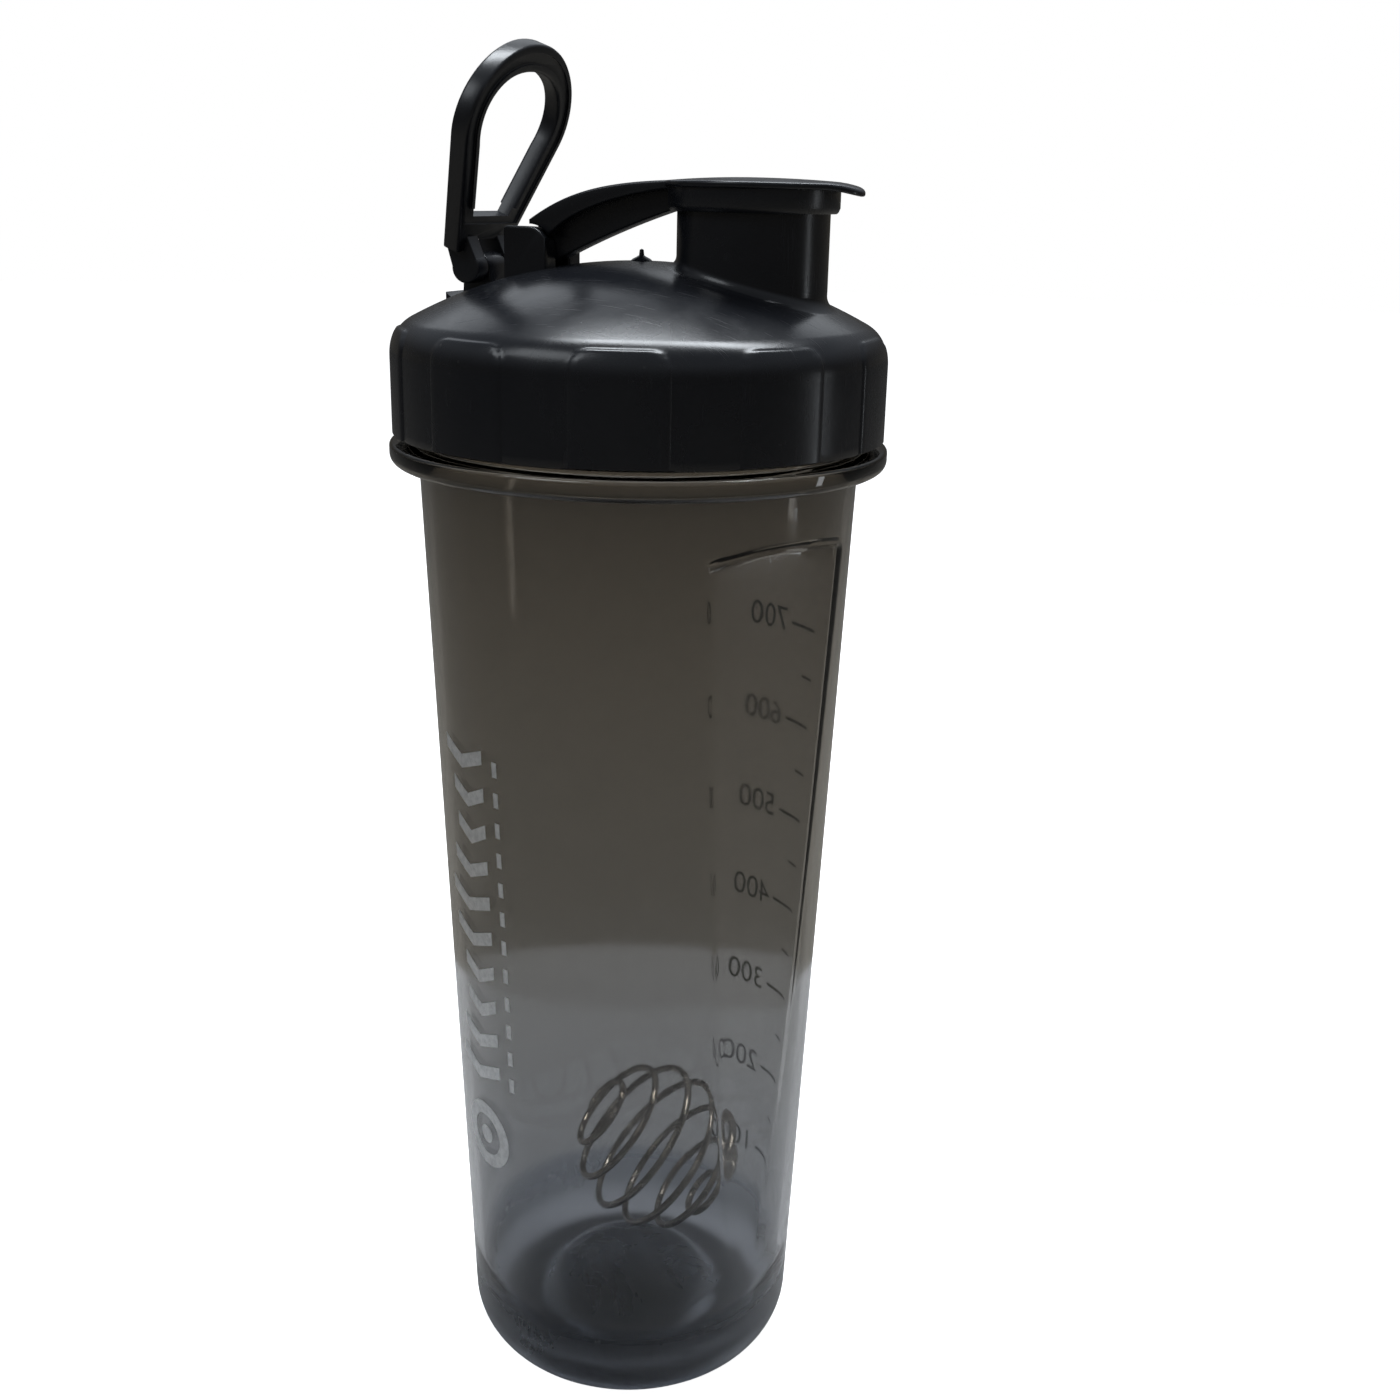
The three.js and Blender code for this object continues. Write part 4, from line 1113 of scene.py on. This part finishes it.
def make_volume_scale():
    """Dark measuring marks: a long line with a number for each 100 ml and a short one between."""
    marks = []
    first, step, rows = 30.0, 21.5, 7
    for row in range(rows):
        level = first + step * row
        marks.append(bar("line", level - 0.35, level + 0.35, -11, -2))
        marks.append(numeral(str(100 * (row + 1)), 7.5, -0.5, level))
        if row < rows - 1:
            half_way = level + step / 2
            marks.append(bar("short_line", half_way - 0.3, half_way + 0.3, -11, -7))
    return wrapped(joined("volume_scale", marks), SCALE_ANGLE)


# ---- stage --------------------------------------------------------------------------------
def make_camera():
    spot = Vector((0.11866, -0.28913, 0.24806))
    view = Vector((-0.325, 0.8955, -0.304))
    roll = math.radians(1.32)
    lens = bpy.data.cameras.new("camera")
    lens.sensor_width = 36.0
    lens.lens = 41.143
    lens.clip_start = 0.01
    camera = bpy.data.objects.new("camera", lens)
    turn = view.to_track_quat("-Z", "Y").to_matrix().to_4x4()
    camera.matrix_world = Matrix.Translation(spot) @ turn @ Matrix.Rotation(roll, 4, "Z")
    bpy.context.scene.collection.objects.link(camera)
    bpy.context.scene.camera = camera


def soft_light(name, place, aim, width, height, power, tone, turn=0.0):
    """A rectangular lamp, turned about the upright after it is aimed."""
    lamp = bpy.data.lights.new(name, "AREA")
    lamp.shape = "RECTANGLE"
    lamp.size, lamp.size_y = width, height
    lamp.energy = power
    lamp.color = tone
    light = bpy.data.objects.new(name, lamp)
    light.location = place
    facing = (Vector(aim) - Vector(place)).to_track_quat("-Z", "Y").to_matrix()
    light.rotation_euler = (Matrix.Rotation(turn, 3, "Z") @ facing).to_euler()
    bpy.context.scene.collection.objects.link(light)


def white_for_camera(n, shade, white, lit):
    """Shows the camera a white shade, and the object the one that lights it."""
    eye = n.add("LightPath").outputs["Is Camera Ray"]
    mixed = n.tree.nodes.new("ShaderNodeMixShader")
    for socket, value in zip(mixed.inputs, (eye, lit.outputs[0], white.outputs[0])):
        n.feed(socket, value)
    n.feed(shade, mixed.outputs[0])


def make_world():
    """A room that is dim and warm low down and paler high up, and white to the camera."""
    world = bpy.data.worlds.new("studio")
    world.use_nodes = True
    bpy.context.scene.world = world
    n = Nodes(world.node_tree)
    world.node_tree.nodes.clear()
    out = n.add("OutputWorld")
    white = n.add("Background", Color=(1, 1, 1, 1), Strength=1.0)
    up = n.add("SeparateXYZ", Vector=n.add("TexCoord").outputs["Generated"]).outputs["Z"]
    wall_low, wall_high = (0.085, 0.08, 0.07), (0.07, 0.066, 0.06)
    bright, ceiling = (0.28, 0.3, 0.33), (0.15, 0.16, 0.17)
    sky = n.ramp(up, (0.0, wall_low), (0.12, wall_high), (0.5, bright), (1.0, ceiling))
    room = n.add("Background", Color=sky, Strength=1.0)
    white_for_camera(n, out.inputs["Surface"], white, room)


def make_floor():
    """A plain pale floor; the object sees it as a pale round mat on a dark one."""
    nothing_selected()
    below = (0, 0, -0.0005)
    bpy.ops.mesh.primitive_circle_add(vertices=96, radius=4.0, fill_type="NGON", location=below)
    floor = named("floor")
    material, n, shader = new_material("pale_floor")
    place = n.add("TexCoord").outputs["Object"]
    away = n.add("VectorMath", {"operation": "LENGTH"}, Vector=place).outputs["Value"]
    near, far, edge = (0.50, 0.49, 0.48), (0.25, 0.228, 0.195), (0.18, 0.165, 0.145)
    mat = n.ramp(away, (0.186, near), (0.192, far), (1.0, edge))
    n.feed(shader.inputs["Base Color"], mat)
    shader.inputs["Roughness"].default_value = 0.7
    pale = n.add("BsdfDiffuse", Color=(0.82, 0.82, 0.82, 1))
    glow = n.add("Emission", Color=(1, 1, 1, 1), Strength=0.94)
    both = n.tree.nodes.new("ShaderNodeAddShader")
    n.feed(both.inputs[0], pale.outputs[0])
    n.feed(both.inputs[1], glow.outputs[0])
    target = n.tree.nodes["Material Output"].inputs["Surface"]
    white_for_camera(n, target, both, shader)
    floor.data.materials.append(material)


def make_lights():
    lid, middle, base, cool = (0, 0, 0.22), (0, 0, 0.2), (0, 0, 0.08), (0.9, 0.95, 1.0)
    turn = math.radians(20)
    soft_light("overhead_strip", (0.06, 0.32, 1.25), lid, 0.9, 0.3, 14.0, cool, turn)
    soft_light("back_softbox", (-0.5, 1.1, 1.0), lid, 1.3, 0.5, 1.3, cool)
    soft_light("right_strip", (0.75, 0.25, 0.1), base, 0.05, 0.3, 0.16, cool)
    soft_light("front_softbox", (-0.5, -0.8, 1.2), middle, 0.7, 0.5, 3.4, cool)


bpy.context.scene.view_settings.view_transform = "Standard"
make_camera()
make_world()
make_floor()
make_lights()

make_cup()
make_lid(black_plastic("lid_black", LID_BLACK, 0.2, 0.34))
make_gasket()
make_flip_cap(black_plastic("cap_black", LID_BLACK, 0.24, 0.4, 1300.0))
make_carry_loop(black_plastic("loop_black", LID_BLACK, 0.28, 0.42, 1200.0))
pin_black = black_plastic("pin_black", PIN_BLACK, 0.35, 0.5, 1500.0, 0.2)
make_pin("cap_pin_rod", CAP_PIN_RADIUS, CAP_PIVOT, pin_black, "cap_hinge_pin")
make_pin("loop_pin_rod", LOOP_PIN_RADIUS, LOOP_PIVOT, pin_black, "loop_hinge_pin")
make_whisk_ball()
silver = screen_ink("silver_ink", (0.72, 0.73, 0.74), (0.5, 0.51, 0.52), 0.6, 0.32)
finished(make_silver_print(), silver, "cup", "cup_plastic")
dark = screen_ink("dark_ink", (0.02, 0.022, 0.03), (0.01, 0.01, 0.014), 0.0, 0.4)
finished(make_volume_scale(), dark, "cup", "cup_plastic")
